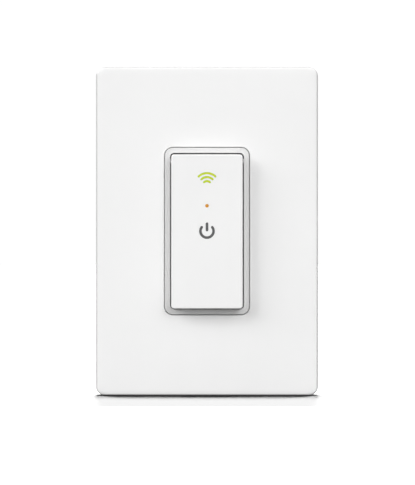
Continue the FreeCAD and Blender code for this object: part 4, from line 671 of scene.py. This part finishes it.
def lamp_piece(name, lamp, towards, distance, lit):
    """A lamp on a ray from the middle of the switch, which lights only one collection.

    The ray's direction is given by its azimuth, 0 in front and 90 on the right, and its
    elevation, both in degrees.
    """
    azimuth, elevation = (math.radians(angle) for angle in towards)
    ray = Vector((math.sin(azimuth) * math.cos(elevation),
                  -math.cos(azimuth) * math.cos(elevation), math.sin(elevation)))
    piece = bpy.data.objects.new(name, lamp)
    bpy.context.scene.collection.objects.link(piece)
    piece.location = ray * distance
    piece.rotation_euler = (-ray).to_track_quat("-Z", "Y").to_euler()
    piece.light_linking.receiver_collection = lit


def soft_box(name, towards, width, watts):
    """A soft square lamp for the object, far away and as wide as an angle."""
    lamp = bpy.data.lights.new(name, "AREA")
    lamp.shape = "SQUARE"
    lamp.size = 2 * FAR * math.tan(math.radians(width / 2))
    lamp.energy = watts
    lamp_piece(name, lamp, towards, FAR, LIT_OBJECT)


def even_light(name, towards, width, share):
    """An even light for the floor, from above and behind, as wide as an angle.

    Its strength is the part of the floor's brightness that it gives, divided by the part of the
    light that the paint sends back, which is the paint's shade over pi, and by the sine of the
    elevation.
    """
    lamp = bpy.data.lights.new(name, "SUN")
    lamp.angle = math.radians(width)
    lamp.energy = share * math.pi / (FLOOR_SHADE * math.sin(math.radians(towards[1])))
    lamp_piece(name, lamp, towards, SUN_AT, LIT_FLOOR)


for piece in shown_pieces():
    LIT_OBJECT.objects.link(piece)

floor_paint = Finish("pale_floor", roughness=0.9, Specular_IOR_Level=0.0)
floor_paint.set("Base Color", (FLOOR_SHADE, FLOOR_SHADE, FLOOR_SHADE, 1))
floor_mesh = bpy.data.meshes.new("floor")
floor_mesh.from_pydata([(a * FLOOR_REACH, b * FLOOR_REACH, FLOOR_HEIGHT)
                        for a, b in ((-1, -1), (1, -1), (1, 1), (-1, 1))], [], [(0, 1, 2, 3)])
floor_mesh.materials.append(floor_paint.material)
floor = bpy.data.objects.new("floor", floor_mesh)
bpy.context.scene.collection.objects.link(floor)
LIT_FLOOR.objects.link(floor)
floor.visible_diffuse = False
floor.visible_shadow = False

world = bpy.data.worlds.new("studio")
bpy.context.scene.world = world
world.use_nodes = True
sky = world.node_tree
sky.nodes.clear()
out = sky.nodes.new("ShaderNodeOutputWorld")
path = sky.nodes.new("ShaderNodeLightPath")
choose = sky.nodes.new("ShaderNodeMixShader")
for number, strength in ((1, STRAY_LIGHT), (2, BACKDROP)):
    white = sky.nodes.new("ShaderNodeBackground")
    white.inputs["Color"].default_value = (1, 1, 1, 1)
    white.inputs["Strength"].default_value = strength
    sky.links.new(white.outputs["Background"], choose.inputs[number])
sky.links.new(path.outputs["Is Camera Ray"], choose.inputs["Fac"])
sky.links.new(choose.outputs["Shader"], out.inputs["Surface"])

# Each lamp: its direction, its width in degrees, and its watts or its share of the floor's light.
SOFT_BOXES = {
    "key_low": ((-65, 24), 30, 418),
    "key_high": ((-45, 45), 22, 127),
    "fill_high": ((30, 40), 45, 240),
    "fill_middle": ((30, 25), 22, 120),
    "fill_side": ((50, 10), 45, 132),
    "front_high": ((0, 10), 13, 36),
    "front_low": ((0, -10), 22, 40),
    "under": ((30, -20), 45, 22),
    "rear_left": ((-153, 20), 26, 350),
    "rear_right": ((155, 12), 26, 235),
}
FLOOR_PAIRS = ((84.7, 0.30), (81.75, 0.28), (78.9, 0.20), (76.1, 0.08), (73.2, 0.04))
PAIR_WIDTH = 3.2

for name, (towards, width, watts) in SOFT_BOXES.items():
    soft_box(name, towards, width, watts)
even_light("floor_low", (180, 59.5), 5.0, 0.58)
for number, (elevation, share) in enumerate(FLOOR_PAIRS):
    for side, azimuth in (("left", 152), ("right", 208)):
        even_light("floor_%s_%d" % (side, number), (azimuth, elevation), PAIR_WIDTH, share / 2)

lens = bpy.data.cameras.new("camera")
lens.lens = 200
lens.sensor_fit = "AUTO"
lens.sensor_width = 36
lens.clip_start = 0.01
camera = bpy.data.objects.new("camera", lens)
bpy.context.scene.collection.objects.link(camera)
camera.location = (0.2 * MM, -1.074, -4.49 * MM)
camera.rotation_euler = (math.radians(90), 0, 0)
bpy.context.scene.camera = camera
bpy.context.scene.view_settings.view_transform = "Standard"
